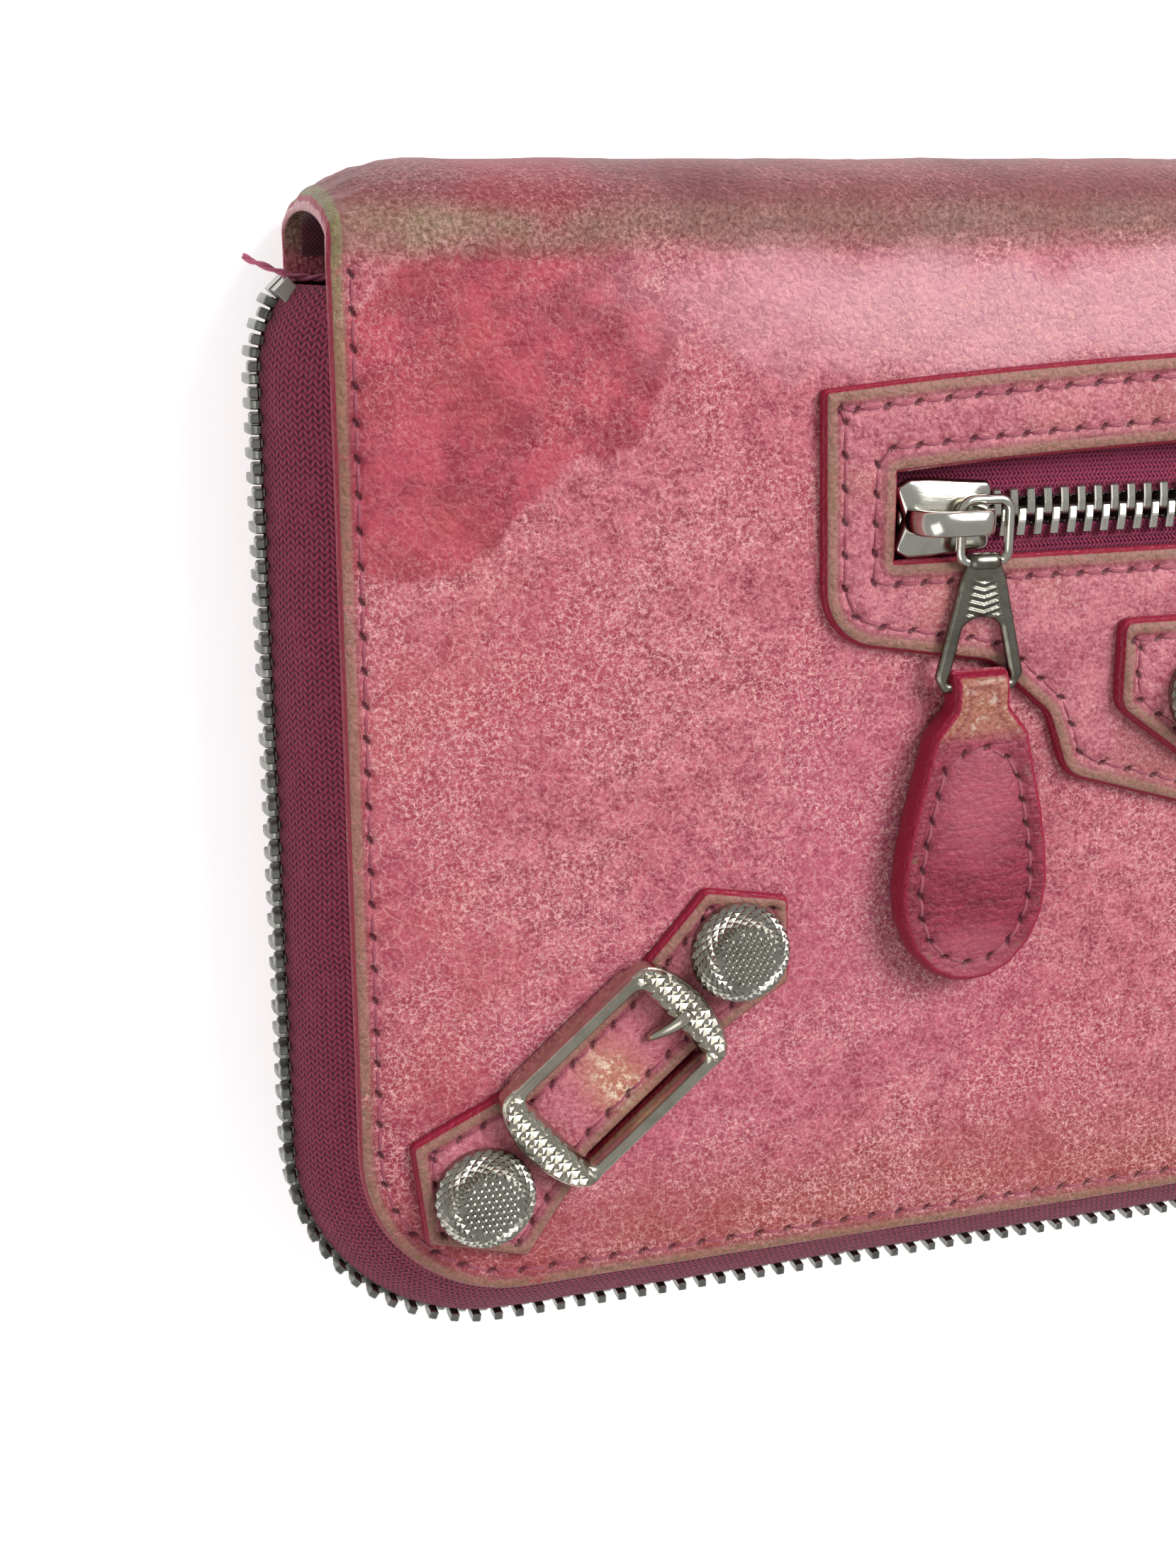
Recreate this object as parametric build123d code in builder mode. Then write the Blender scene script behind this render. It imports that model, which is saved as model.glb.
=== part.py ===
"""Long zip-around wallet, closed and lying on its back.

X runs along the spine, +Y points to the spine and +Z out of the front cover.
The origin is the middle of the back cover's outer face. Millimetres.
"""
import os
from math import cos, pi, radians, sin, sqrt

from build123d import *

# ---------------------------------------------------------------- driving dimensions
panel_length = 190.0      # each cover, along the spine
panel_width = 100.0       # spine to opening edge
thickness = 22.0          # closed, back face to front face
corner_radius = 15.0      # the two corners away from the spine
leather = 1.2
board = 0.5
lining = 0.3
clear = 0.1               # between faces that must not touch
side_bulge = 4.7          # how far the zip tape stands out past the ends
edge_bulge = 7.5          # and past the opening edge
spine_depth = 6.0         # the rolled spine, from the covers' edge to its back
board_inset = 4.8         # boards and linings, in from the covers' cut edge
lining_inset = 2.0
board_end = 2.0           # and short of the spine's fold
front_lining_level = 16.5
front_board_level = 16.9

half_length = panel_length / 2
spine_back = panel_width / 2
spine_line = spine_back - spine_depth
opening_edge = -panel_width / 2
mid = thickness / 2
front_face = thickness
inner_face = thickness - leather

# main zip
tape = 0.5                # tape thickness
tape_seat = leather + tape
tape_inset = 0.3
tape_gap = 0.7            # tape edge to the middle plane
tape_end = 40.0           # where the tapes stop, beside the spine
tape_end_radius = 12.0    # the zip turns inwards beside the spine
main_pitch = 2.1
main_tooth = (0.85, 2.6, 2.55)   # along the chain, through the tape, across the chain
main_mesh = 0.55          # how far a tooth reaches past the middle plane
main_rest = 30.0          # slider's place beside the spine when the zip is shut

# pocket zip in the front cover
window = (91.8, 8.1, 1.8)        # length, height at the ends, extra height at the middle
window_drop = 3.7         # chain's middle line to the window's lower edge
chain_y = 19.3
pocket_tape_level = 20.2
pocket_pitch = 1.7
pocket_tooth = (0.75, 2.2, 2.65)
pocket_mesh = 0.5
pocket_rest = -41.0

# coin pocket page
page_half_length = 86.0
page_back = 7.8
page_front = 10.6
page_mouth = -40.0
coin_chain_y = -33.0
coin_rest = 72.0
coin_panel = 0.4

# card panels
card_half_length = 88.0
card_backing = 0.3
card_leaf = 0.3
card_leaves = 3
card_edge = -34.0         # the deepest leaf's free edge
card_step = 12.0
card_root = 38.0

# trim on the front
tab_half_length = 23.3
tab_thickness = 1.5
tab_stud_x = 14.0
tab_stud_y = 2.3
strap_centre = (72.3, -29.0)
strap_angle = 40.6
strap_stud_reach = 15.8
stud_radius = 4.55
stud_height = 3.4
post_radius = 1.0
washer_radius = 2.4
washer = 0.35

os.makedirs("parts", exist_ok=True)


def keep(piece, node):
    """Label a finished piece and write its file."""
    piece.part.label = node
    export_step(piece.part, f"parts/{node}.step")


# ---------------------------------------------------------------- covers and spine
def cover_outline(level, inset=0.0):
    """Outline of a cover at a height, set in from its cut edge on three sides."""
    length = panel_length - 2 * inset
    width = spine_line - opening_edge - inset
    with BuildSketch(Plane.XY.offset(level)) as outline:
        with Locations((0, spine_line - width / 2)):
            Rectangle(length, width)
        fillet(outline.vertices().group_by(Axis.Y)[0], corner_radius - inset)
    return outline.sketch


def window_outline(level, grow=0.0):
    """Zip window: straight below, slightly arched above."""
    half = window[0] / 2 + grow
    low = chain_y - window_drop - grow
    high = low + window[1] + 2 * grow
    with BuildSketch(Plane.XY.offset(level)) as outline:
        with BuildLine():
            Polyline((-half, high), (-half, low), (half, low), (half, high))
            ThreePointArc((half, high), (0, high + window[2]), (-half, high))
        make_face()
    return outline.sketch


def strap_plane(side, level, reach=0.0):
    """Plane in a corner strap's own direction: x along it, towards the middle of the front."""
    along = radians(strap_angle)
    x = side * (strap_centre[0] - reach * cos(along))
    y = strap_centre[1] + reach * sin(along)
    direction = (-side * cos(along), sin(along), 0)
    return Plane(origin=(x, y, level), x_dir=direction, z_dir=(0, 0, 1))


def strap_stud_planes(side, level):
    """Planes of the two studs on one corner strap."""
    return [strap_plane(side, level, reach) for reach in (-strap_stud_reach, strap_stud_reach)]


def tab_stud_planes(level):
    """Planes of the two studs on the centre tab."""
    return [Plane(origin=(x, tab_stud_y, level)) for x in (-tab_stud_x, tab_stud_x)]


def all_stud_planes(level):
    """Planes of all six studs."""
    return strap_stud_planes(-1, level) + strap_stud_planes(1, level) + tab_stud_planes(level)


def plate(outline, amount):
    """Plain sheet of one outline."""
    with BuildPart() as sheet:
        extrude(outline, amount=amount)
    return sheet


with BuildPart() as front_cover:
    extrude(cover_outline(inner_face), amount=leather)
    extrude(window_outline(inner_face), amount=leather, mode=Mode.SUBTRACT)
    with BuildSketch(*all_stud_planes(inner_face)):
        Circle(post_radius + clear)
    extrude(amount=leather, mode=Mode.SUBTRACT)
keep(front_cover, "front_cover")


def spine_shell(outer, wall):
    """Half-round channel from the back cover's edge to the front cover's."""
    with BuildPart() as channel:
        with BuildSketch(Plane.YZ):
            with Locations((spine_line, mid)):
                Ellipse(outer[0], outer[1])
                Ellipse(outer[0] - wall, outer[1] - wall, mode=Mode.SUBTRACT)
            with Locations((spine_line + outer[0] / 2, mid)):
                Rectangle(outer[0], thickness, mode=Mode.INTERSECT)
        extrude(amount=half_length, both=True)
    return channel


def stiffener(level, amount, inset):
    """Board or lining: short of the spine's fold and rounded off beside the zip's ends."""
    low = opening_edge + inset
    high = spine_line - board_end
    with BuildPart() as sheet:
        with BuildSketch(Plane.XY.offset(level)) as outline:
            with Locations((0, (low + high) / 2)):
                Rectangle(panel_length - 2 * inset, high - low)
            fillet(outline.vertices().group_by(Axis.Y)[0], corner_radius - inset)
            fillet(outline.vertices().group_by(Axis.Y)[-1], tape_end_radius)
        extrude(amount=amount)
    return sheet


keep(plate(cover_outline(0), leather), "back_cover")
keep(spine_shell((spine_depth, mid), leather), "spine")
keep(spine_shell((spine_depth - leather - clear, mid - leather - clear), lining), "spine_lining")
keep(stiffener(leather, board, board_inset), "back_board")
keep(stiffener(tape_seat + 0.02, lining, lining_inset), "back_lining")
keep(stiffener(front_board_level, board, board_inset), "front_board")
keep(stiffener(front_lining_level, lining, lining_inset), "front_lining")


# ---------------------------------------------------------------- main zip
def spread(level):
    """Share of the bulge reached at a height: none at the cover, all at the middle."""
    return sin(pi / 2 * (level - tape_seat) / (mid - tape_seat))


def tape_outline(level, inset):
    """Outline of the zip tape's wall at a height."""
    share = spread(level)
    half = half_length + side_bulge * share - inset
    low = opening_edge - edge_bulge * share + inset
    with BuildSketch(Plane.XY.offset(level)) as outline:
        with Locations((0, (spine_line + low) / 2)):
            Rectangle(2 * half, spine_line - low)
        fillet(outline.vertices().group_by(Axis.Y)[0], corner_radius + side_bulge * share - inset)
        fillet(outline.vertices().group_by(Axis.Y)[-1], tape_end_radius - inset)
    return outline.sketch


tape_levels = (tape_seat, 3.9, 6.8, mid - tape_gap)

with BuildPart() as back_tape:
    loft([tape_outline(level, tape_inset) for level in tape_levels])
    loft([tape_outline(level, tape_inset + tape) for level in tape_levels], mode=Mode.SUBTRACT)
    extrude(cover_outline(leather, tape_inset), amount=tape)
    extrude(cover_outline(leather, board_inset - 0.3), amount=tape, mode=Mode.SUBTRACT)
    split(bisect_by=Plane.XZ.offset(-tape_end), keep=Keep.TOP)
keep(back_tape, "back_tape")

with BuildPart() as front_tape:
    mirror(back_tape.part, about=Plane.XY.offset(mid))
keep(front_tape, "front_tape")

# The chain's centre line, in the middle of the tape, from the left end to the right end.
chain_inset = tape_inset + tape / 2
chain_half = half_length + side_bulge - chain_inset
chain_low = opening_edge - edge_bulge + chain_inset
chain_corner = corner_radius + side_bulge - chain_inset
turn_radius = tape_end_radius - chain_inset
turn_start = spine_line - tape_end_radius
turn_rise = tape_end - 1.5 - turn_start
turn_shift = turn_radius - sqrt(turn_radius ** 2 - turn_rise ** 2)

with BuildLine() as chain_line:
    left_turn = CenterArc((-chain_half + turn_radius, turn_start), turn_radius,
                          180 - turn_rise / turn_radius * 180 / pi,
                          turn_rise / turn_radius * 180 / pi)
    left_side = Line(left_turn @ 1, (-chain_half, chain_low + chain_corner))
    left_corner = CenterArc((-chain_half + chain_corner, chain_low + chain_corner),
                            chain_corner, 180, 90)
    edge_run = Line(left_corner @ 1, (chain_half - chain_corner, chain_low))
    right_corner = CenterArc((chain_half - chain_corner, chain_low + chain_corner),
                             chain_corner, 270, 90)
    right_side = Line(right_corner @ 1, (chain_half, main_rest + 0.6))


def tooth_planes(line, pitch, shift, height):
    """Planes evenly spaced along a zip, X along the chain, starting a share of the pitch in."""
    count = int(line.length / pitch - 1)
    planes = []
    for number in range(count):
        distance = (number + 0.5 + shift) * pitch
        centre = line.position_at(distance, PositionMode.LENGTH)
        direction = line.tangent_at(distance, PositionMode.LENGTH)
        planes.append(Plane(origin=(centre.X, centre.Y, height), x_dir=direction, z_dir=(0, 0, 1)))
    return planes


def main_row(side, shift):
    """One main row: blocks crimped on a tape's edge, reaching past the middle plane."""
    along, through, across = main_tooth
    height = mid + side * (across / 2 - main_mesh) - across / 2
    with BuildPart() as row:
        with BuildSketch(*tooth_planes(main_wire, main_pitch, shift, height)):
            Rectangle(along, through)
        extrude(amount=across)
    return row


main_wire = chain_line.wires()[0]
keep(main_row(-1, 0.0), "back_teeth")
keep(main_row(1, 0.5), "front_teeth")

main_seat = Plane(origin=(chain_half, main_rest, mid), x_dir=(0, -1, 0), z_dir=(1, 0, 0))


# ---------------------------------------------------------------- sliders and pulls
plate_gap = 0.2           # slider plate to teeth
plate_sheet = 0.7
wire_radius = 0.45
bridge_width = 2.2
bridge_sheet = 0.8
bridge_gap = 3.4          # clear height under the bridge
ring_length = 5.5         # from the ring's top wire to its bottom wire
ring_width = 4.7
metal_length = 11.3       # pull plate, from the ring to the fork's bar
metal_sheet = 0.9
fork_half = 4.3
barrel_half = 1.45          # half length of the plate's roll round the ring's wire
barrel_wall = 0.35
neck_half = 2.2             # the plate's half width where it leaves the roll
neck_drop = 1.6
chevron_start = 1.7
fork_foot = 3.15            # half width of the fork's opening at the bar
fork_head = 2.1             # and at its arch
fork_rise = 4.4
arch_rise = 1.5
bar_radius = 0.45
chevron_count = 5
chevron_pitch = 0.62
chevron_half = 1.35
chevron_drop = 0.35
chevron_band = 0.28
chevron_height = 0.18
ring_bend = 1.1             # outer corner radius of the wire ring
pull_length = 27.8        # leather pull, from the fork's bar to its tip
pull_sheet = 2.8
pull_rise = 1.6           # pull's middle plane above the slider's plate
pull_neck = 2.65


def above(seat, x, y, z):
    """Point given in a seat plane's own directions."""
    return seat.from_local_coords((x, y, z))


def slider(seat, tooth, gap, sheet):
    """Slider on its chain: two plates joined by a post, flanges and a bridge for the pull.

    The seat's X points the way that the slider opens the zip.
    """
    half = tooth[1] / 2 + plate_gap
    across = tooth[2] * 2 - 1.0
    nose = across / 2 + 1.4
    tail = across / 2 + 0.9
    length = across * 2.15
    top = half + plate_sheet
    with BuildPart() as body:
        with BuildSketch(seat.offset(-top), seat.offset(half)):
            with BuildLine():
                Polyline((-length / 2, -nose + 1), (-length / 2 + 1, -nose), (-length / 6, -nose),
                         (length / 2, -tail), (length / 2, tail), (-length / 6, nose),
                         (-length / 2 + 1, nose), (-length / 2, nose - 1), close=True)
            make_face()
        extrude(amount=plate_sheet)
        with BuildSketch(seat.offset(-half)):
            with Locations((-length / 2 + 1.2, 0)):
                Ellipse(1.0, 0.7)
        extrude(amount=2 * half)
        with BuildSketch(seat.offset(half)):
            with Locations((length / 4, across / 2 + 0.55), (length / 4, -across / 2 - 0.55)):
                Rectangle(length / 2 - 0.2, 0.4)
        extrude(amount=-(half - 0.45))
        profile = Plane(origin=above(seat, 0, 0, top), x_dir=seat.x_dir, z_dir=-seat.y_dir)
        with BuildSketch(profile):
            outer_height = gap + sheet
            with BuildLine():
                Polyline((-length * 0.36, 0), (-length * 0.36, outer_height * 0.6),
                         (-length * 0.2, outer_height), (length * 0.33, outer_height),
                         (length * 0.39, outer_height - 0.5), (length * 0.39, 0), close=True)
            make_face()
            with BuildLine():
                Polyline((-length * 0.36 + sheet, 0), (-length * 0.36 + sheet, gap * 0.6),
                         (-length * 0.2, gap), (length * 0.39 - sheet, gap),
                         (length * 0.39 - sheet, 0), close=True)
            make_face(mode=Mode.SUBTRACT)
        extrude(amount=bridge_width / 2, both=True)
    return body


def ring(plane):
    """Closed wire loop: its top wire lies on the plane's X axis, the rest towards -Y."""
    with BuildPart() as loop:
        with BuildSketch(plane.offset(-wire_radius)):
            with Locations((0, -ring_length / 2)):
                RectangleRounded(ring_width + 2 * wire_radius, ring_length + 2 * wire_radius, ring_bend)
                RectangleRounded(ring_width - 2 * wire_radius, ring_length - 2 * wire_radius,
                                 ring_bend - wire_radius, mode=Mode.SUBTRACT)
        extrude(amount=2 * wire_radius)
        fillet(loop.edges().filter_by(Plane(plane.origin, z_dir=plane.z_dir)), wire_radius * 0.6)
    return loop


def metal_pull(plane):
    """Pull plate: rolled round the ring's bottom wire on the plane's X axis, forked at the far end."""
    with BuildPart() as pull:
        with BuildSketch(plane.offset(-metal_sheet / 2)):
            with BuildLine():
                Polyline((-barrel_half, 0), (barrel_half, 0), (neck_half, -neck_drop),
                         (fork_half, -metal_length + metal_sheet),
                         (fork_half - metal_sheet, -metal_length - bar_radius),
                         (-fork_half + metal_sheet, -metal_length - bar_radius),
                         (-fork_half, -metal_length + metal_sheet), (-neck_half, -neck_drop), close=True)
            make_face()
            with BuildLine():
                low = -metal_length + bar_radius
                springing = low + fork_rise
                Polyline((-fork_foot, low), (fork_foot, low), (fork_head, springing))
                ThreePointArc((fork_head, springing), (0, springing + arch_rise), (-fork_head, springing))
                Line((-fork_head, springing), (-fork_foot, low))
            make_face(mode=Mode.SUBTRACT)
        extrude(amount=metal_sheet)
        barrel = Plane(origin=above(plane, -barrel_half, 0, 0), x_dir=plane.y_dir, z_dir=plane.x_dir)
        with BuildSketch(barrel):
            Circle(wire_radius + barrel_wall)
        extrude(amount=2 * barrel_half)
        with BuildSketch(barrel.offset(-barrel_half)):
            Circle(wire_radius * 1.3)
        extrude(amount=4 * barrel_half, mode=Mode.SUBTRACT)
        for chevron in range(chevron_count):
            with BuildSketch(plane.offset(metal_sheet / 2)):
                rise = -chevron_start - chevron_pitch * chevron
                point = rise - chevron_drop
                with BuildLine():
                    Polyline((-chevron_half, rise), (0, point), (chevron_half, rise),
                             (chevron_half, rise - chevron_band), (0, point - chevron_band),
                             (-chevron_half, rise - chevron_band), close=True)
                make_face()
            extrude(amount=chevron_height)
    return pull


def leather_pull(plane):
    """Teardrop of folded leather round the fork's bar, which lies on the plane's X axis."""
    with BuildPart() as pull:
        with BuildSketch(plane.offset(-pull_sheet / 2)):
            with BuildLine():
                neck = Line((-pull_neck, 0), (-pull_neck, -1.9))
                shoulder = Line(neck @ 1, (-4.7, -4.4))
                flank = Spline(shoulder @ 1, (-7.35, -18.5), tangents=((-0.2, -1), (0, -1)))
                ThreePointArc(flank @ 1, (-5.2, -24.9), (0, -pull_length))
                mirror(about=Plane.YZ)
                Line((-pull_neck, 0), (pull_neck, 0))
            make_face()
        extrude(amount=pull_sheet)
        roll = Plane(origin=above(plane, -pull_neck, 0, 0), x_dir=plane.y_dir, z_dir=plane.x_dir)
        with BuildSketch(roll):
            Circle(pull_sheet / 2)
        extrude(amount=2 * pull_neck)
        with BuildSketch(roll.offset(-1)):
            Circle(0.78)
        extrude(amount=2 * pull_neck + 2, mode=Mode.SUBTRACT)
    return pull

main_pull_rise = main_tooth[1] / 2 + plate_gap + plate_sheet + pull_rise
main_ring_plane = Plane(origin=above(main_seat, 1.0, 0, main_pull_rise),
                        x_dir=(0, 0, -1), z_dir=(1, 0, 0))
main_pull_plane = Plane(origin=above(main_ring_plane, 0, -ring_length, 0),
                        x_dir=main_ring_plane.x_dir, z_dir=(1, 0, 0))
main_leather_plane = Plane(origin=above(main_pull_plane, 0, -metal_length, 0),
                           x_dir=main_ring_plane.x_dir, z_dir=(1, 0, 0))
keep(slider(main_seat, main_tooth, bridge_gap, bridge_sheet), "main_slider")
keep(ring(main_ring_plane), "main_pull_ring")
keep(metal_pull(main_pull_plane), "main_pull")
keep(leather_pull(main_leather_plane), "main_pull_leather")


def row_stops(side, body):
    """End stops of one main row: a clip on the tape's edge at each end of the zip."""
    height = mid + side * (tape_gap - 0.2)
    ends = [Plane(origin=(-chain_half + 2.55, turn_start + 7.1, height), x_dir=(0.73, 0.68, 0)),
            Plane(origin=(chain_half - 0.5, main_rest + 7.0, height), x_dir=(-0.45, 0.89, 0))]
    with BuildPart() as stops:
        with BuildSketch(*ends):
            Rectangle(1.6, main_tooth[1])
        extrude(amount=side * 2.2)
        add(body.part, mode=Mode.SUBTRACT)
    return stops


keep(row_stops(-1, back_tape), "back_stops")
keep(row_stops(1, front_tape), "front_stops")


# ---------------------------------------------------------------- zip pocket in the front
def zip_tape(level, half, side, edge, centre):
    """Flat tape of a straight zip along X, from its toothed edge outwards."""
    tooth_side = 1.3
    with BuildPart() as strip:
        with BuildSketch(Plane.XY.offset(level)):
            with Locations((0, centre + side * (tooth_side + edge) / 2)):
                Rectangle(2 * half, edge - tooth_side)
        extrude(amount=tape)
    return strip


def straight_row(seat, tooth, start, end, side, shift):
    """Row of teeth along a straight zip, between two places on the seat's X axis."""
    along, through, across = tooth
    count = int((end - start) / pocket_pitch - shift)
    with BuildPart() as row:
        with BuildSketch(seat.offset(-through / 2)):
            with Locations(*[(start + (number + 0.5 + shift) * pocket_pitch,
                              side * (across / 2 - pocket_mesh)) for number in range(count)]):
                Rectangle(along, across)
        extrude(amount=through)
    return row


pocket_tape_half = window[0] / 2 + 4
pocket_tape_edge = 7.0
pocket_seat = Plane(origin=(pocket_rest, chain_y, pocket_tape_level + tape / 2))
pocket_row_start = -1.4
pocket_row_end = window[0] / 2 - 3.2 - pocket_rest
upper_tape = zip_tape(pocket_tape_level, pocket_tape_half, 1, pocket_tape_edge, chain_y)
lower_tape = zip_tape(pocket_tape_level, pocket_tape_half, -1, pocket_tape_edge, chain_y)
keep(upper_tape, "pocket_tape_upper")
keep(lower_tape, "pocket_tape_lower")
keep(straight_row(pocket_seat, pocket_tooth, pocket_row_start, pocket_row_end, 1, 0.0),
     "pocket_teeth_upper")
keep(straight_row(pocket_seat, pocket_tooth, pocket_row_start, pocket_row_end, -1, 0.5),
     "pocket_teeth_lower")

with BuildPart() as pocket_stop:
    with BuildSketch(pocket_seat.offset(-0.9)):
        with Locations((pocket_row_end + 1.3, 0)):
            Rectangle(1.6, 4.6)
    extrude(amount=1.8)
    add(upper_tape.part, mode=Mode.SUBTRACT)
    add(lower_tape.part, mode=Mode.SUBTRACT)
keep(pocket_stop, "pocket_stop")

pocket_rise = pocket_tooth[1] / 2 + plate_gap + plate_sheet + pull_rise
pocket_ring_plane = Plane(origin=above(pocket_seat, 3.3, 1.7, pocket_rise))
pocket_pull_plane = Plane(origin=above(pocket_ring_plane, 0, -ring_length, 0))
pocket_leather_plane = Plane(origin=above(pocket_pull_plane, 0, -metal_length, 0))
keep(slider(pocket_seat, pocket_tooth, bridge_gap, bridge_sheet), "pocket_slider")
keep(ring(pocket_ring_plane), "pocket_pull_ring")
keep(metal_pull(pocket_pull_plane), "pocket_pull")
keep(leather_pull(pocket_leather_plane), "pocket_pull_leather")

bag_low = 17.5
bag_high = pocket_tape_level - 0.1
with BuildPart() as pocket_bag:
    with BuildSketch(Plane.XY.offset(bag_low)):
        with Locations((0, -1)):
            RectangleRounded(102, 58, 3)
    extrude(amount=bag_high - bag_low)
    with BuildSketch(Plane.XY.offset(bag_low + lining)):
        with Locations((0, -1)):
            RectangleRounded(100, 56, 2.5)
    extrude(amount=bag_high - bag_low - 2 * lining, mode=Mode.SUBTRACT)
    with BuildSketch(Plane.XY.offset(bag_high - lining)):
        with Locations((0, chain_y)):
            Rectangle(window[0] + 3, 9.6)
    extrude(amount=lining, mode=Mode.SUBTRACT)
keep(pocket_bag, "pocket_bag")

with BuildPart() as pocket_surround:
    with BuildSketch(Plane.XY.offset(front_face)) as surround_outline:
        with BuildLine():
            ThreePointArc((-52.9, 30.7), (0, 33.2), (52.9, 30.7))
            Polyline((-52.9, 30.7), (-52.3, 9.0), (-36.0, 6.2), (-29.8, 0.9), (-27.6, -5.2),
                     (-13.0, -9.6), (13.0, -9.6), (27.6, -5.2), (29.8, 0.9), (36.0, 6.2),
                     (52.3, 9.0), (52.9, 30.7))
        make_face()
        low_corners = surround_outline.vertices().filter_by(lambda corner: corner.Y < 20)
        fillet(low_corners.filter_by(lambda corner: abs(corner.X) > 50), 5.5)
        fillet(surround_outline.vertices().filter_by(
            lambda corner: corner.Y < 6 and 12 < abs(corner.X) < 40), 3.0)
    extrude(amount=leather)
    extrude(window_outline(front_face), amount=leather, mode=Mode.SUBTRACT)
    with BuildSketch(*tab_stud_planes(front_face)):
        Circle(post_radius + clear)
    extrude(amount=leather, mode=Mode.SUBTRACT)
keep(pocket_surround, "pocket_surround")


# ---------------------------------------------------------------- tab, straps, studs, buckles
tab_level = front_face + leather
tab_face = tab_level + tab_thickness

with BuildPart() as centre_tab:
    with BuildSketch(Plane.XY.offset(tab_level)) as tab_outline:
        with BuildLine():
            Polyline((-tab_half_length, 9.2), (-tab_half_length, 1.2), (-15.5, -4.4),
                     (15.5, -4.4), (tab_half_length, 1.2), (tab_half_length, 9.2), close=True)
        make_face()
        fillet(tab_outline.vertices().group_by(Axis.Y)[-1], 0.8)
        fillet(tab_outline.vertices().filter_by(lambda corner: corner.Y < 2), 2.4)
    extrude(amount=tab_thickness)
    with BuildSketch(*tab_stud_planes(tab_level)):
        Circle(post_radius + clear)
    extrude(amount=tab_thickness, mode=Mode.SUBTRACT)
keep(centre_tab, "centre_tab")


def studs(seats):
    """Domed studs with flat tops, each with a post that ends in its washer."""
    rim = 0.7                  # height of the upright rim under the dome
    top_radius = stud_radius * 0.62
    with BuildPart() as group:
        for seat in seats:
            foot = inner_face - washer - seat.origin.Z
            with BuildSketch(Plane(origin=seat.origin, x_dir=(1, 0, 0), z_dir=(0, -1, 0))):
                with BuildLine():
                    Polyline((0, foot), (post_radius, foot), (post_radius, 0),
                             (stud_radius - 0.2, 0), (stud_radius, 0.25), (stud_radius, rim))
                    ThreePointArc((stud_radius, rim), (stud_radius * 0.87, 2.2),
                                  (top_radius, stud_height))
                    Polyline((top_radius, stud_height), (0, stud_height), (0, foot))
                make_face()
            revolve(axis=Axis(seat.origin, (0, 0, 1)))
    return group


def corner_strap(side):
    """Strap across a lower corner: pentagon ends and a narrow waist inside the buckle."""
    half_waist = 4.6
    with BuildPart() as strap:
        with BuildSketch(strap_plane(side, front_face)) as strap_outline:
            with BuildLine():
                Polyline((-22.5, 0), (-17.2, 8.0), (-8.2, 5.5), (-6.8, half_waist),
                         (6.8, half_waist), (8.2, 5.0), (17.3, 6.2), (22.3, 0),
                         (17.3, -6.2), (8.2, -5.0), (6.8, -half_waist),
                         (-6.8, -half_waist), (-8.2, -5.5), (-17.2, -8.0), close=True)
            make_face()
            fillet(strap_outline.vertices(), 0.6)
        extrude(amount=leather)
        with BuildSketch(*strap_stud_planes(side, front_face)):
            Circle(post_radius + clear)
        extrude(amount=leather, mode=Mode.SUBTRACT)
    return strap


buckle_low = front_face + leather + 0.1
buckle_height = 2.2
pin_reach = 8.7
pin_level = 1.35          # above the buckle's underside
pin_radius = 0.35


def buckle(side):
    """Frame with two crescent ends and two deep side bars, and the prong's pin."""
    seat = strap_plane(side, buckle_low)
    with BuildPart() as frame:
        with BuildSketch(seat):
            with BuildLine():
                Line((-8.0, 6.2), (8.0, 6.2))
                ThreePointArc((8.0, 6.2), (10.5, 0), (8.0, -6.2))
                Line((8.0, -6.2), (-8.0, -6.2))
                ThreePointArc((-8.0, -6.2), (-10.5, 0), (-8.0, 6.2))
            make_face()
            RectangleRounded(14.4, 9.8, 0.8, mode=Mode.SUBTRACT)
            with Locations(((6.9 + 9.75) / 2, 0)):
                Rectangle(9.75 - 6.9, 1.7, mode=Mode.SUBTRACT)
        extrude(amount=buckle_height)
        with BuildSketch(seat):
            with Locations((0, 5.6), (0, -5.6)):
                Rectangle(12.4, 1.1)
        extrude(amount=-1.0)
        with BuildSketch(Plane(origin=above(seat, pin_reach, -1.2, pin_level),
                               x_dir=seat.x_dir, z_dir=seat.y_dir)):
            Circle(pin_radius)
        extrude(amount=2.4)
    return frame


def prong(side):
    """Curved prong with an eye round the buckle's pin, its tip just above the strap."""
    seat = strap_plane(side, buckle_low)
    profile = Plane(origin=seat.origin, x_dir=seat.x_dir, z_dir=-seat.y_dir)
    with BuildPart() as tongue:
        with BuildSketch(profile):
            with BuildLine():
                Spline((pin_reach, pin_level + 0.8), (6.6, 1.95), (4.2, 0.5))
                Line((4.2, 0.5), (4.5, 0.1))
                Spline((4.5, 0.1), (6.6, 0.95), (pin_reach, pin_level - 0.8))
                Line((pin_reach, pin_level - 0.8), (pin_reach, pin_level + 0.8))
            make_face()
            with Locations((pin_reach, pin_level)):
                Circle(0.85)
                Circle(pin_radius + 0.07, mode=Mode.SUBTRACT)
        extrude(amount=0.65, both=True)
    return tongue


for name, side in (("left", -1), ("right", 1)):
    keep(corner_strap(side), f"{name}_strap")
    keep(buckle(side), f"{name}_buckle")
    keep(prong(side), f"{name}_prong")
    keep(studs(strap_stud_planes(side, front_face + leather)), f"{name}_strap_studs")
keep(studs(tab_stud_planes(tab_face)), "centre_tab_studs")

with BuildPart() as stud_washers:
    with BuildSketch(*all_stud_planes(inner_face - washer)):
        Circle(washer_radius)
        Circle(post_radius + clear / 2, mode=Mode.SUBTRACT)
    extrude(amount=washer)
keep(stud_washers, "stud_washers")


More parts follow.
